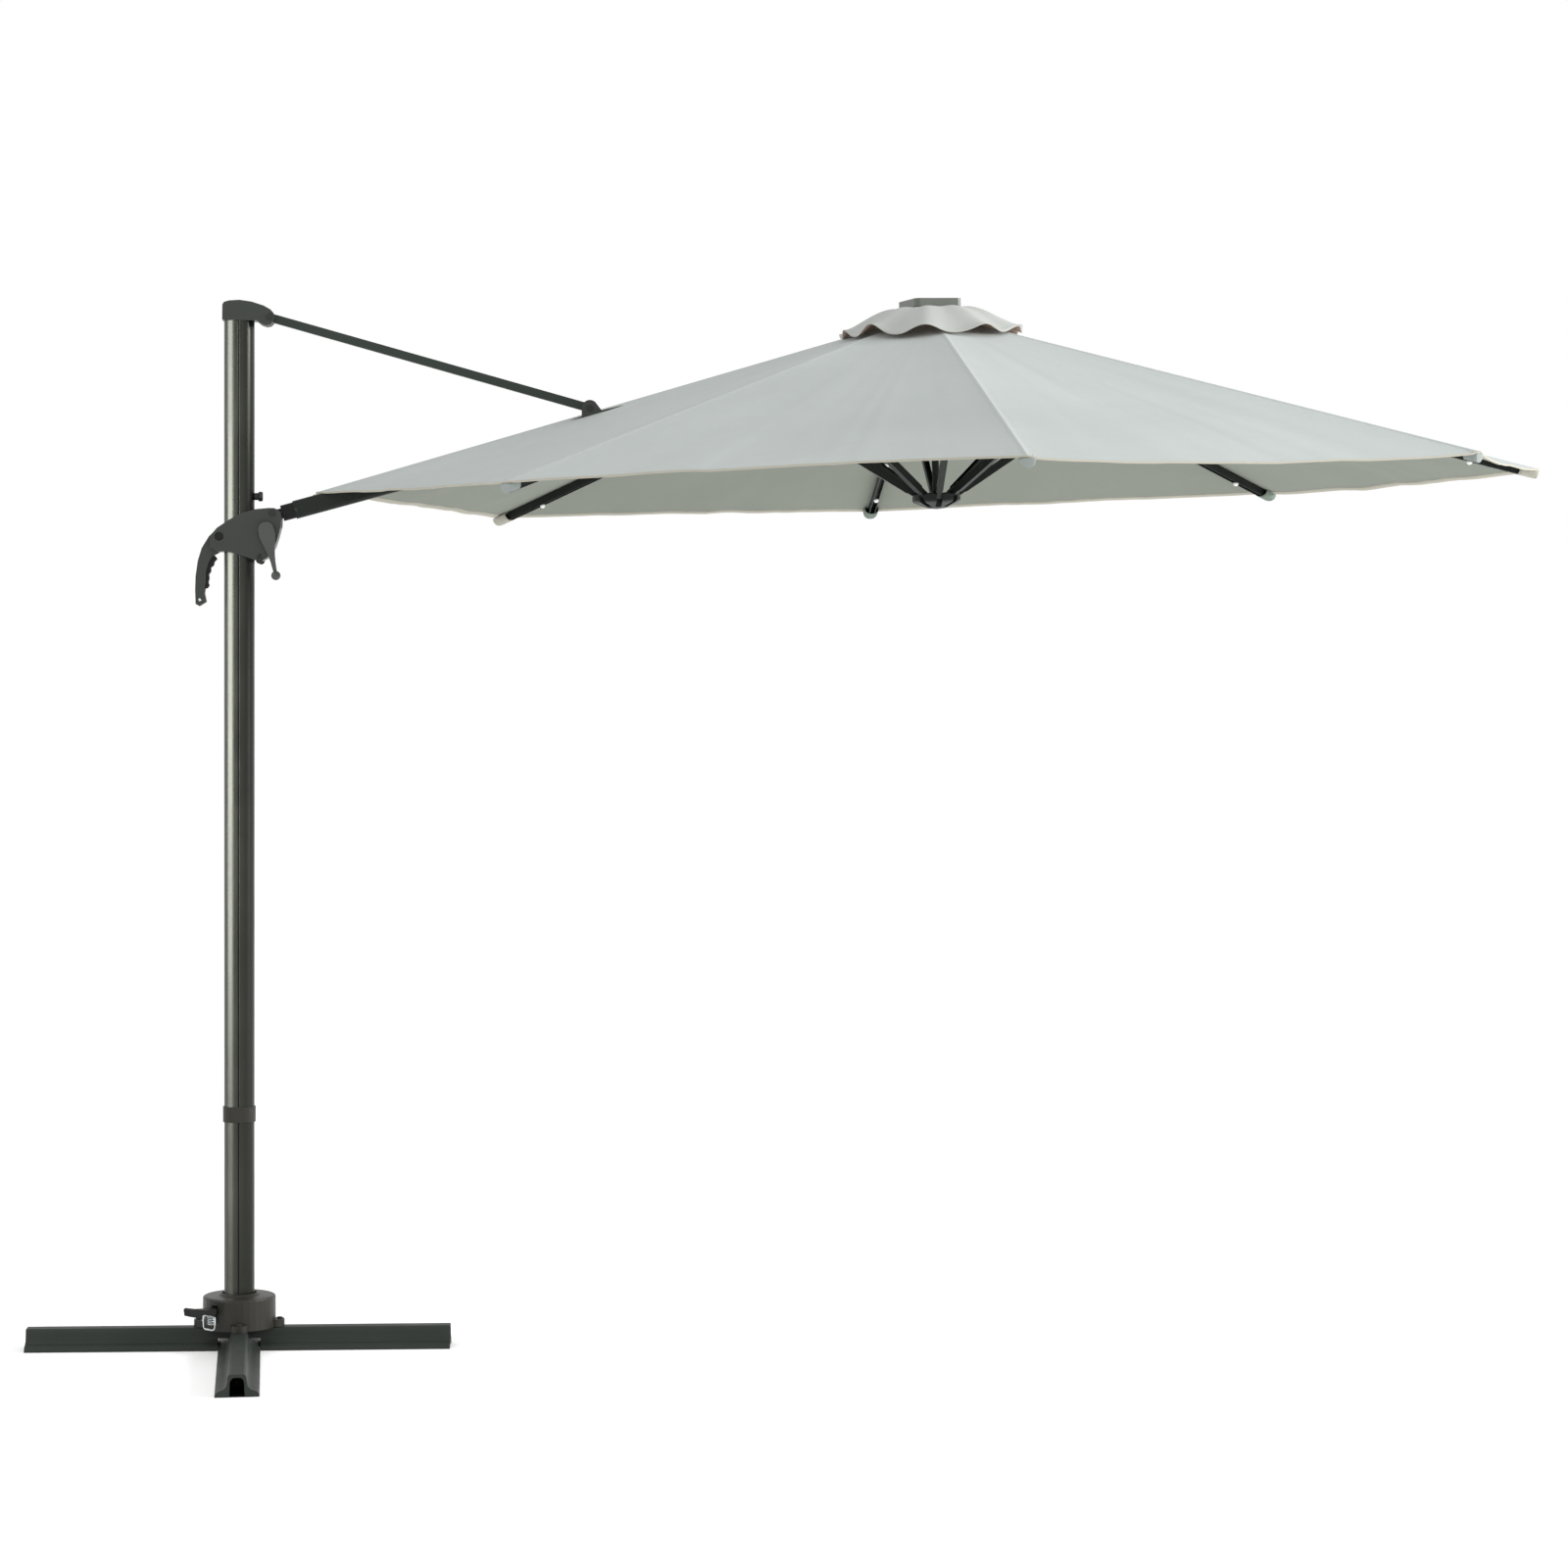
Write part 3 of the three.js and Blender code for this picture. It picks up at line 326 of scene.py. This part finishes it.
# How far each node's sharp edges are rounded, in metres.
ROUNDING = {
    "base_leg_long": 0.0012,
    "base_leg_cross": 0.0012,
    "base_flange": 0.0015,
    "drum_cover": 0.002,
    "lock_pedal": 0.002,
    "mast_cap": 0.003,
    "mast_collar": 0.0012,
    "slider_shell_near": 0.0035,
    "slider_shell_far": 0.0035,
    "grip_trigger": 0.0025,
    "crank": 0.003,
    "arm_bracket": 0.003,
    "tie_rod": 0.002,
    "solar_housing": 0.004,
    "runner": 0.0012,
    "crown_hub": 0.001,
}


def finish_of(name):
    if name in FINISHES:
        return FINISHES[name]
    return next(m for prefix, m in PREFIXES.items() if name.startswith(prefix))


def smooth_by_angle(o, degrees=32.0):
    """Smooth shading that breaks at sharp edges."""
    o.data.polygons.foreach_set("use_smooth", [True] * len(o.data.polygons))
    split = o.modifiers.new("sharp edges", "EDGE_SPLIT")
    split.split_angle = math.radians(degrees)


def dress_cad_nodes():
    for name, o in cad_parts.items():
        if name in ("canopy", "vent_canopy"):
            continue
        material = finish_of(name)
        if not o.material_slots:
            o.data.materials.append(material)
        for s in o.material_slots:
            s.link = "OBJECT"
            s.material = material
        if name in ROUNDING:
            bevel = o.modifiers.new("rounded edges", "BEVEL")
            bevel.width = ROUNDING[name]
            bevel.segments = 3
            bevel.limit_method = "ANGLE"
            bevel.angle_limit = math.radians(38)
            bevel.harden_normals = False
        smooth_by_angle(o)


# ---------------------------------------------------------------- making pieces


def new_piece(name, vertices, faces, materials, body, slots=None):
    """A smooth-shaded mesh that rides on a body. slots gives each face's material, if there are several."""
    mesh = bpy.data.meshes.new(name)
    mesh.from_pydata([tuple(v) for v in vertices], [], faces)
    for m in materials:
        mesh.materials.append(m)
    if slots:
        mesh.polygons.foreach_set("material_index", slots)
    mesh.polygons.foreach_set("use_smooth", [True] * len(mesh.polygons))
    mesh.update()
    o = bpy.data.objects.new(name, mesh)
    bpy.context.scene.collection.objects.link(o)
    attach(o, body)
    return o


def set_uvs(mesh, uvs):
    """Store one coordinate pair for each vertex, in metres along the cloth, for the weave and the stitches."""
    layer = mesh.uv_layers.new(name="Cloth")
    for loop in mesh.loops:
        layer.data[loop.index].uv = uvs[loop.vertex_index]


def turned(profile, segments, matrix):
    """Vertices and faces of a profile of (radius, height) turned about Z, then moved by matrix."""
    vertices, faces = [], []
    for r, z in profile:
        for i in range(segments):
            a = 2 * math.pi * i / segments
            vertices.append(matrix @ Vector((r * math.cos(a), r * math.sin(a), z)))
    for k in range(len(profile) - 1):
        for i in range(segments):
            j = (i + 1) % segments
            a, b = k * segments, (k + 1) * segments
            faces.append((a + i, a + j, b + j, b + i))
    faces.append(tuple(range(segments))[::-1])
    last = (len(profile) - 1) * segments
    faces.append(tuple(last + i for i in range(segments)))
    return vertices, faces


def spoke_matrix(k):
    """The crown's frame turned so that X runs out along spoke k (0 points away from the mast)."""
    return CROWN @ Matrix.Rotation(-k * STEP, 4, "Z")


# ---------------------------------------------------------------- canopy cloth


def rib_slope(k):
    """The slope of rib k + 1. The one beside the arm lies a little flatter."""
    return ARM_RIB_SLOPE if k % SPOKES == ARM_SPOKE else RIB_SLOPE


def seam_height(seam, radius):
    """The height of a seam, which runs down over its rib. Seam 4 of 8 is the one beside the arm."""
    return LIFT - (radius - HINGE) * math.tan(rib_slope(seam))


def cloth_point(panel, share, radius):
    """A point of the cloth's upper side, in the crown's frame. panel lies from its own seam to the next."""
    a0, a1 = panel * STEP, (panel + 1) * STEP
    along = max(0.0, (radius - HOLE) / (TIP - HOLE))
    bow = 4 * share * (1 - share)
    inward = 1 - HEM_BOW * bow * along**3 / radius
    x = radius * (math.cos(a0) + (math.cos(a1) - math.cos(a0)) * share) * inward
    y = radius * (math.sin(a0) + (math.sin(a1) - math.sin(a0)) * share) * inward
    z = seam_height(panel, radius) * (1 - share) + seam_height(panel + 1, radius) * share
    z -= bow * SAG * math.sin(math.pi * min(1.0, along))
    z -= bow**0.6 * HEM_DROPS[panel % SPOKES] * along**7
    chord = 2 * radius * math.sin(STEP / 2)
    seam = min(share, 1 - share) * chord
    z += 0.0011 * math.exp(-((seam / 0.006) ** 4))
    fold = noise.noise(Vector((share * 7.0, panel * 3.7, radius * 1.6)))
    tight = noise.noise(Vector((share * 23.0, panel * 5.1 + 9.0, radius * 0.9)))
    z += bow * along * (0.0045 * fold + 0.0016 * tight)
    return Vector((x, y, z))


def cloth_normal(panel, share, radius):
    e = 0.002
    s0, s1 = max(0.0, share - e), min(1.0, share + e)
    r0, r1 = radius - 0.004, radius + 0.004
    du = cloth_point(panel, s1, radius) - cloth_point(panel, s0, radius)
    dr = cloth_point(panel, share, r1) - cloth_point(panel, share, r0)
    n = dr.cross(du)
    n = n if n.z > 0 else -n
    return n.normalized()


# Mesh columns beside a seam, in metres from it, and how many more there are out to mid-panel.
SEAM_COLUMNS = (0.0, 0.0035, 0.0075, 0.014)
PANEL_COLUMNS = 15
ROWS = 44
# The slit's middle and the first column beyond it, in metres from the seam.
SLIT_FROM_SEAM, BEYOND_SLIT = 0.028, 0.052


def slit_half_width(radius):
    share = (radius - SLIT_MIDDLE) / SLIT_HALF_LENGTH
    return SLIT_HALF_WIDTH * math.sqrt(max(0.0, 1 - share * share))


def gore_columns(k, side):
    """Distances from the seam, in metres, then shares of the rest of the half panel, out to mid-panel."""
    columns = [("metres", d) for d in SEAM_COLUMNS]
    if k == ARM_SPOKE and side > 0:
        columns += [("slit", -1), ("slit", 1), ("metres", BEYOND_SLIT)]
    columns += [("share", (i + 1) / PANEL_COLUMNS) for i in range(PANEL_COLUMNS)]
    return columns


def column_share(column, radius, last):
    """How far across its panel, from 0 at the seam to 0.5 at mid-panel, a column lies at this radius.

    last is the widest of the columns that keep their distance in metres. Near the crown, where the
    panel is narrow, those columns draw together.
    """
    kind, value = column
    chord = 2 * radius * math.sin(STEP / 2)
    narrow = min(1.0, radius / 0.5)
    if kind == "metres":
        return value * narrow / chord
    if kind == "slit":
        return (SLIT_FROM_SEAM + value * max(slit_half_width(radius), 0.0004)) * narrow / chord
    inner = last * narrow / chord
    return inner + (0.5 - inner) * value


def make_gore(k):
    """The cloth over rib k + 1, from mid-panel to mid-panel: a thin closed shell with a turned hem."""
    seam = (SPOKES - k) % SPOKES
    radii = [HOLE + (TIP - HOLE) * i / (ROWS - 1) for i in range(ROWS)]
    if k == ARM_SPOKE:
        ends = [SLIT_MIDDLE - SLIT_HALF_LENGTH, SLIT_MIDDLE + SLIT_HALF_LENGTH]
        inside = [SLIT_MIDDLE + SLIT_HALF_LENGTH * math.sin(math.pi * s / 12) for s in range(-6, 7)]
        radii = [r for r in radii if not ends[0] - 0.01 < r < ends[1] + 0.01] + inside
        radii.sort()
    left = [(seam - 1, c, True, SEAM_COLUMNS[-1]) for c in gore_columns(k, -1)[:0:-1]]
    last = BEYOND_SLIT if k == ARM_SPOKE else SEAM_COLUMNS[-1]
    right = [(seam, c, False, last) for c in gore_columns(k, 1)]
    columns = left + right
    vertices, normals, uvs = [], [], []
    rows = len(radii)
    for layer in (0, 1):
        for i, r in enumerate(radii):
            for panel, column, mirrored, widest in columns:
                s = column_share(column, r, widest)
                share = 1 - s if mirrored else s
                p = cloth_point(panel, share, r)
                n = cloth_normal(panel, share, r)
                if layer:
                    p = p - n * CLOTH
                    n = -n
                vertices.append(CROWN @ p)
                normals.append((CROWN.to_3x3() @ n).normalized())
                chord = 2 * r * math.sin(STEP / 2)
                uvs.append(((-1 if mirrored else 1) * s * chord, r / math.cos(RIB_SLOPE)))
    wide = len(columns)
    slit_column = len(left) + len(SEAM_COLUMNS) if k == ARM_SPOKE else None

    def index(layer, i, j):
        return (layer * rows + i) * wide + j

    def open_at(i, j):
        if slit_column is None or j != slit_column:
            return False
        return abs((radii[i] + radii[i + 1]) / 2 - SLIT_MIDDLE) < SLIT_HALF_LENGTH - 1e-6

    faces, slots = [], []
    for i in range(rows - 1):
        for j in range(wide - 1):
            if open_at(i, j):
                continue
            faces.append((index(0, i, j), index(0, i + 1, j), index(0, i + 1, j + 1), index(0, i, j + 1)))
            slots.append(0)
            faces.append((index(1, i, j), index(1, i, j + 1), index(1, i + 1, j + 1), index(1, i + 1, j)))
            slots.append(1)
    edges = dict.fromkeys((a, b) for f in faces for a, b in zip(f, f[1:] + f[:1]))
    layer_size = rows * wide
    walls = []
    for a, b in edges:
        if a < layer_size and b < layer_size and (b, a) not in edges:
            walls.append((b, a, a + layer_size, b + layer_size))
    faces += walls
    slots += [2] * len(walls)
    o = new_piece(f"canopy_gore_{k + 1}", vertices, faces, [TOP, UNDER, HEM], f"rib_{k + 1}", slots=slots)
    mesh = o.data
    set_uvs(mesh, uvs)
    loops = []
    for polygon in mesh.polygons:
        for li in polygon.loop_indices:
            n = normals[mesh.loops[li].vertex_index]
            loops.append(polygon.normal.copy() if polygon.material_index == 2 else n)
    # Each side of the seam keeps its own panel's slope, so the seam shows as a crease.
    for polygon in mesh.polygons:
        if polygon.material_index == 2:
            continue
        for li in polygon.loop_indices:
            if abs(uvs[mesh.loops[li].vertex_index][0]) < 1e-6:
                loops[li] = polygon.normal.copy()
    mesh.normals_split_custom_set([tuple(n) for n in loops])
    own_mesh(o)
    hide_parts("canopy")
    return o


# The hem tape's cross-section: distance in from the cloth's edge, and depth below its upper side.
HEM_PROFILE = (
    (0.019, 0.0014),
    (0.017, 0.0028),
    (0.002, 0.0034),
    (-0.0012, 0.0022),
    (-0.0014, 0.0004),
    (0.0, -0.0008),
    (0.003, -0.0012),
)
HEM_COLUMNS = 26


def make_hem(k):
    """The hem's folded tape under the edge of gore k + 1."""
    seam = (SPOKES - k) % SPOKES
    columns = []
    for j in range(2 * HEM_COLUMNS + 1):
        s = 0.5 * (j - HEM_COLUMNS) / HEM_COLUMNS
        columns.append((seam - 1, 1 + s) if s < 0 else (seam, s))
    vertices, faces, uvs = [], [], []
    for panel, share in columns:
        n = cloth_normal(panel, share, TIP - 0.004)
        for d, drop in HEM_PROFILE:
            p = cloth_point(panel, share, TIP - d) - n * drop
            vertices.append(CROWN @ p)
            chord = 2 * TIP * math.sin(STEP / 2)
            uvs.append((d, share * chord))
    wide = len(HEM_PROFILE)
    for j in range(len(columns) - 1):
        for i in range(wide - 1):
            a = j * wide + i
            faces.append((a, a + 1, a + wide + 1, a + wide))
    o = new_piece(f"hem_{k + 1}", vertices, faces, [HEM], f"rib_{k + 1}")
    set_uvs(o.data, uvs)
    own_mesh(o)
    return o


def make_canopy():
    for k in range(SPOKES):
        gore = make_gore(k)
        hem = make_hem(k)


# ---------------------------------------------------------------- vent canopy

# The vent canopy's inner and outer radius, the width of its flat disc, and the waves of its hem.
VENT_INNER = 0.025
VENT_RADIUS = 0.214
VENT_OPENINGS = 11
VENT_TURN = math.radians(100.6)
# The vent's height above the rib hinges at growing radii: billowed round the cap, then down to the hem.
VENT_PROFILE = (
    (VENT_INNER, 0.0365),
    (0.055, 0.0385),
    (0.085, 0.0450),
    (0.110, 0.0425),
    (0.140, 0.0300),
    (0.170, 0.0105),
    (0.195, -0.0085),
    (0.214, -0.0195),
)


def vent_height(r):
    """The profile's height at radius r, with its corners eased."""
    total = 0.0
    for shift in (-0.012, -0.006, 0.0, 0.006, 0.012):
        at = min(max(r + shift, VENT_PROFILE[0][0]), VENT_RADIUS)
        for (r0, z0), (r1, z1) in zip(VENT_PROFILE, VENT_PROFILE[1:]):
            if r0 <= at <= r1:
                total += z0 + (z1 - z0) * (at - r0) / (r1 - r0)
                break
    return total / 5


def vent_reach(a):
    """The hem's radius, which grows a little towards the two sides that face along Y."""
    return VENT_RADIUS * (1 + 0.17 * abs(math.sin(a)) ** 1.5)


def vent_point(share, a):
    """A point of the vent canopy's upper side in the crown's frame. share runs from the stem to the hem.

    The hem rests on the canopy below and is lifted off it in waves.
    """
    reach = vent_reach(a)
    wave = (0.5 + 0.5 * math.cos(VENT_OPENINGS * (a + VENT_TURN))) ** 1.2
    around = Vector((math.cos(a), math.sin(a), 0.0))
    uneven = noise.noise(around * 2.3 + Vector((4.0, 1.0, 0.0)))
    small = noise.noise(around * 6.5)
    rest = seam_height(0, 1.03 * reach) + 0.004
    lift = 0.0205 * wave * (1 + 0.6 * uneven) + 0.0015 * small
    z = vent_height(VENT_INNER + (VENT_RADIUS - VENT_INNER) * share)
    z += (rest - VENT_PROFILE[-1][1]) * share**3 + lift * share**4
    z -= 0.0045 * (1 - wave) * (1 + 0.6 * small) * math.sin(math.pi * share**1.4) ** 2
    out = VENT_INNER + (reach - VENT_INNER) * share
    out *= 1 + 0.02 * wave * share**3 + 0.012 * uneven * share**2
    return Vector((out * math.cos(a), out * math.sin(a), z))


def make_vent():
    rows, around = 22, 192
    vertices, uvs = [], []
    for layer in (0, 1):
        for i in range(rows):
            share = i / (rows - 1)
            for j in range(around):
                a = 2 * math.pi * j / around
                p = vent_point(share, a)
                q = vent_point(share, a + 0.01) - p
                s = vent_point(share + 0.005, a) - p
                n = s.cross(q).normalized()
                n = n if n.z > 0 else -n
                vertices.append(CROWN @ (p - n * CLOTH * layer))
                uvs.append((share * VENT_RADIUS, a * 0.15))
    faces, slots = [], []
    size = rows * around
    for i in range(rows - 1):
        for j in range(around):
            m = (j + 1) % around
            a, b, c, d = i * around + j, (i + 1) * around + j, (i + 1) * around + m, i * around + m
            faces.append((a, b, c, d))
            slots.append(0)
            faces.append((a + size, d + size, c + size, b + size))
            slots.append(1)
    for j in range(around):
        m = (j + 1) % around
        faces.append((m, j, j + size, m + size)[::-1])
        last = (rows - 1) * around
        faces.append((last + j, last + m, last + m + size, last + j + size)[::-1])
        slots += [2, 2]
    o = new_piece("vent_cloth", vertices, faces, [VENT_TOP, VENT_UNDER, HEM], "arm", slots=slots)
    set_uvs(o.data, uvs)
    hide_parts("vent_canopy")
    return o


# ---------------------------------------------------------------- small pieces on the ribs


# Spokes on the camera's side, whose pockets are darkened to a grey-green like the cloth's upper side (painted
# shade), and two on the far side.
NEAR_SPOKES = (1, 2, 3)
FAR_SPOKES = (6, 7)
POCKET_LENGTH, NEAR_POCKET_LENGTH = 0.046, 0.030
POCKET_HALF_WIDTH, NEAR_POCKET_HALF_WIDTH = 0.0190, 0.0150
POCKET_TOP, POCKET_DEPTH = 0.0108, 0.0114


def make_pocket(k):
    """The cloth pocket that holds the end of rib k + 1."""
    m = spoke_matrix(k) @ Matrix.Translation((HINGE, 0, 0)) @ Matrix.Rotation(rib_slope(k), 4, "Y")
    around, rows = 24, 9
    vertices, faces = [], []
    near = k in NEAR_SPOKES
    half_width = NEAR_POCKET_HALF_WIDTH if near else POCKET_HALF_WIDTH
    start = RIB_LENGTH - (NEAR_POCKET_LENGTH if near else POCKET_LENGTH)
    end = RIB_LENGTH + 0.003
    for i in range(rows):
        t = i / (rows - 1)
        x = start + (end - start) * min(1.0, 1.06 * math.sin(t * math.pi / 2))
        closing = max(0.2, math.sqrt(max(0.0, 1 - t**6)))
        for j in range(around):
            a = 2 * math.pi * j / around
            c, s = math.cos(a), math.sin(a)
            y = half_width * closing * (1 + 0.35 * s) * math.copysign(abs(c) ** 0.7, c)
            z = (POCKET_TOP if s > 0 else POCKET_DEPTH * closing) * math.copysign(abs(s) ** 0.7, s)
            vertices.append(m @ Vector((x, y, z)))
    for i in range(rows - 1):
        for j in range(around):
            n = (j + 1) % around
            faces.append((i * around + j, i * around + n, (i + 1) * around + n, (i + 1) * around + j))
    faces.append(tuple((rows - 1) * around + j for j in range(around)))
    # The camera-side pockets get a darkened colour: painted shade.
    cloth = POCKET_PAINTED_SHADE if near else POCKET_GREEN if k in FAR_SPOKES else POCKET
    o = new_piece(f"rib_pocket_{k + 1}", vertices, faces, [cloth], f"rib_{k + 1}")
    o.modifiers.new("cloth thickness", "SOLIDIFY").thickness = 0.0012
    layer_uv = o.data.uv_layers.new(name="Cloth")
    for loop in o.data.loops:
        co = o.data.vertices[loop.vertex_index].co
        layer_uv.data[loop.index].uv = (co.x + co.y, co.z)
    return o


LED_PLACES = (0.62, 0.98, 1.285)
LED_RADIUS = 0.0070


def make_leds(k):
    """Small white lamps on the underside of rib k + 1."""
    base = spoke_matrix(k) @ Matrix.Translation((HINGE, 0, 0)) @ Matrix.Rotation(rib_slope(k), 4, "Y")
    dome = [(0.0068, 0.0), (LED_RADIUS, 0.0016)]
    for i in range(1, 8):
        a = i * math.pi / 16
        dome.append((0.0067 * math.cos(a), 0.0022 + 0.0058 * math.sin(a)))
    for n, x in enumerate(LED_PLACES):
        m = base @ Matrix.Translation((x, 0, -0.0098)) @ Matrix.Rotation(math.pi, 4, "X")
        vertices, faces = turned(dome, 28, m)
        new_piece(f"led_{k + 1}_{n + 1}", vertices, faces, [LENS], f"rib_{k + 1}")


# ---------------------------------------------------------------- small pieces on the base and the slider

# Each leg end's direction, in degrees round the mast, and its distance from the mast.
LEG_ENDS = ((-2.0, 0.495), (93.0, 0.59), (178.0, 0.495), (273.0, 0.59))
# Half of the channel's inner outline, from its foot up to the ridge: half width and height.
LEG_BORE = (
    (0.0171, 0.0004),
    (0.0160, 0.014),
    (0.0155, 0.030),
    (0.0136, 0.0376),
    (0.0088, 0.0420),
    (0.0, 0.0430),
)
# The near face of the slider's shell, along Y from the mast's middle.
SLIDER_FACE = -0.0401
PEDAL_DIRECTION = math.radians(231)
SPRING = {"out": 0.096, "radius": 0.0075, "foot": 0.068, "length": 0.024, "coils": 6, "wire": 0.0014}


def make_channel_shade(n, degrees, reach):
    """A black sheet in the end of a leg's channel, closed below and at its inner end: painted shade inside the
    channel.
    """
    turn = Matrix.Translation(MAST) @ Matrix.Rotation(math.radians(degrees), 4, "Z")
    arch = list(LEG_BORE) + [(-y, z) for y, z in LEG_BORE[-2::-1]]
    vertices, faces = [], []
    for x in (reach - 0.0008, reach - 0.016, reach - 0.05, reach - 0.11):
        vertices += [turn @ Vector((x, y, z)) for y, z in arch]
    wide = len(arch)
    for row in range(3):
        for i in range(wide):
            a, b = row * wide + i, row * wide + (i + 1) % wide
            faces.append((a, b, b + wide, a + wide))
    faces.append(tuple(3 * wide + i for i in range(wide)))
    o = new_piece(f"leg_lining_{n}", vertices, faces, [BLACK], "base")
    o.modifiers.new("shade sheet thickness", "SOLIDIFY").thickness = 0.0003
    return o


def make_screw(name, x, z, y, radius, material, body):
    """A round-headed screw with a recess, facing the camera's side. x and z are from the mast's foot."""
    m = Matrix.Translation(MAST + Vector((x, y, z))) @ Matrix.Rotation(math.pi / 2, 4, "X")
    profile = [(radius, 0.0), (radius, 0.0006)]
    for i in range(1, 6):
        a = i * math.pi / 14
        profile.append((radius * math.cos(a), 0.0006 + 0.45 * radius * math.sin(a)))
    profile += [(radius * 0.32, 0.0006 + 0.36 * radius), (radius * 0.26, 0.0006 + 0.16 * radius)]
    vertices, faces = turned(profile, 24, m)
    return new_piece(name, vertices, faces, [material], body)


def make_ring(name, x, z, y, inner, outer, material, body):
    """A raised ring round a bolt head, facing the camera's side."""
    m = Matrix.Translation(MAST + Vector((x, y, z))) @ Matrix.Rotation(math.pi / 2, 4, "X")
    vertices, faces = [], []
    around, section = 40, 10
    middle, thick = (inner + outer) / 2, (outer - inner) / 2
    for i in range(around):
        a = 2 * math.pi * i / around
        for j in range(section):
            b = 2 * math.pi * j / section
            r = middle + thick * math.cos(b)
            vertices.append(m @ Vector((r * math.cos(a), r * math.sin(a), thick * math.sin(b))))
    for i in range(around):
        for j in range(section):
            n, p = (i + 1) % around, (j + 1) % section
            faces.append((i * section + j, n * section + j, n * section + p, i * section + p))
    return new_piece(name, vertices, faces, [material], body)


def make_spring():
    """The small plated spring that holds the lock pedal up, inside its wire loop."""
    turn = Matrix.Translation(MAST) @ Matrix.Rotation(PEDAL_DIRECTION, 4, "Z")
    steps, section = 150, 8
    vertices, faces = [], []
    for i in range(steps + 1):
        a = 2 * math.pi * SPRING["coils"] * i / steps
        core = Vector((SPRING["out"], SPRING["radius"] * math.cos(a), 0.0))
        core.x += SPRING["radius"] * math.sin(a)
        core.z = SPRING["foot"] + SPRING["length"] * i / steps
        out = Vector((math.sin(a), math.cos(a), 0.0))
        for j in range(section):
            b = 2 * math.pi * j / section
            p = core + out * SPRING["wire"] * math.cos(b) + Vector((0, 0, SPRING["wire"] * math.sin(b)))
            vertices.append(turn @ p)
    for i in range(steps):
        for j in range(section):
            p = (j + 1) % section
            faces.append((i * section + j, i * section + p, (i + 1) * section + p, (i + 1) * section + j))
    faces.append(tuple(range(section)))
    faces.append(tuple(steps * section + j for j in range(section))[::-1])
    return new_piece("pedal_spring", vertices, faces, [ZINC], "pedal")


def make_fittings():
    # Black sheets in the ends of the leg channels: painted shade.
    for n, (degrees, reach) in enumerate(LEG_ENDS, 1):
        make_channel_shade(n, degrees, reach)
    make_screw("screw_grip", -0.091, 1.757, -0.0151, 0.0036, ZINC, "slider")
    make_screw("screw_chin", 0.049, 1.860, SLIDER_FACE - 0.0002, 0.0045, PAINT, "slider")
    make_screw("screw_arm", 0.133, 1.9690, -0.0119, 0.0055, PAINT, "arm")
    make_ring("bolt_ring", -0.045, 1.905, SLIDER_FACE - 0.0002, 0.0103, 0.0128, CRANK, "slider")
    make_spring()


# ---------------------------------------------------------------- camera, floor and lights


def look_at(o, target):
    o.rotation_euler = (Vector(target) - o.location).to_track_quat("-Z", "Y").to_euler()


def make_camera():
    data = bpy.data.cameras.new("camera")
    data.lens = 85.0
    data.sensor_width = 36.0
    data.shift_y = -0.0868
    camera = bpy.data.objects.new("camera", data)
    bpy.context.scene.collection.objects.link(camera)
    camera.location = MAST + Vector((0.540, -8.782, 1.644))
    camera.rotation_euler = (math.radians(90), 0, math.radians(-4.85))
    bpy.context.scene.camera = camera


def make_stage():
    bpy.ops.mesh.primitive_plane_add(size=60, location=(0, 0, 0))
    floor = bpy.context.object
    floor.name = "floor"
    t = Tree("floor_white")
    t.set(Base_Color=srgb(246, 246, 246), Roughness=0.9, Specular_IOR_Level=0.0)
    t.set(Emission_Color=(1, 1, 1, 1), Emission_Strength=0.14)
    floor.data.materials.append(t.material)


def area_light(name, location, target, size, power):
    data = bpy.data.lights.new(name, "AREA")
    data.shape = "RECTANGLE"
    data.size, data.size_y = size
    data.energy = power
    o = bpy.data.objects.new(name, data)
    o.location = location
    bpy.context.scene.collection.objects.link(o)
    look_at(o, target)
    return o


def keep_light_to(light, prefixes):
    """Let a light reach only the CAD nodes whose names begin with one of these words."""
    lit = bpy.data.collections.new(light.name + "_reaches")
    for name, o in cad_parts.items():
        if name.startswith(prefixes):
            lit.objects.link(o)
    light.light_linking.receiver_collection = lit


def make_lights():
    world = bpy.data.worlds.new("studio")
    world.use_nodes = True
    world.node_tree.nodes["Background"].inputs[0].default_value = (1.0, 1.0, 1.0, 1.0)
    world.node_tree.nodes["Background"].inputs[1].default_value = 1.0
    bpy.context.scene.world = world
    area_light("key", (9.0, -2.0, 4.2), (0.5, 0, 2.2), (3.0, 3.0), 980)
    middle = MAST + Vector((0, 0, 1.7))
    side = area_light("side", middle + Vector((-3.64, -2.10, 0)), middle, (5.2, 2.6), 1350)
    keep_light_to(side, ("mast_upper", "mast_lower"))
    area_light("fill", (-6.0, -3.0, 5.0), (0.0, 0, 2.2), (3.0, 3.0), 80)
    bpy.context.scene.view_settings.view_transform = "Standard"


dress_cad_nodes()
make_canopy()
make_vent()
for spoke in range(SPOKES):
    make_pocket(spoke)
    make_leds(spoke)
make_fittings()
make_camera()
make_stage()
make_lights()
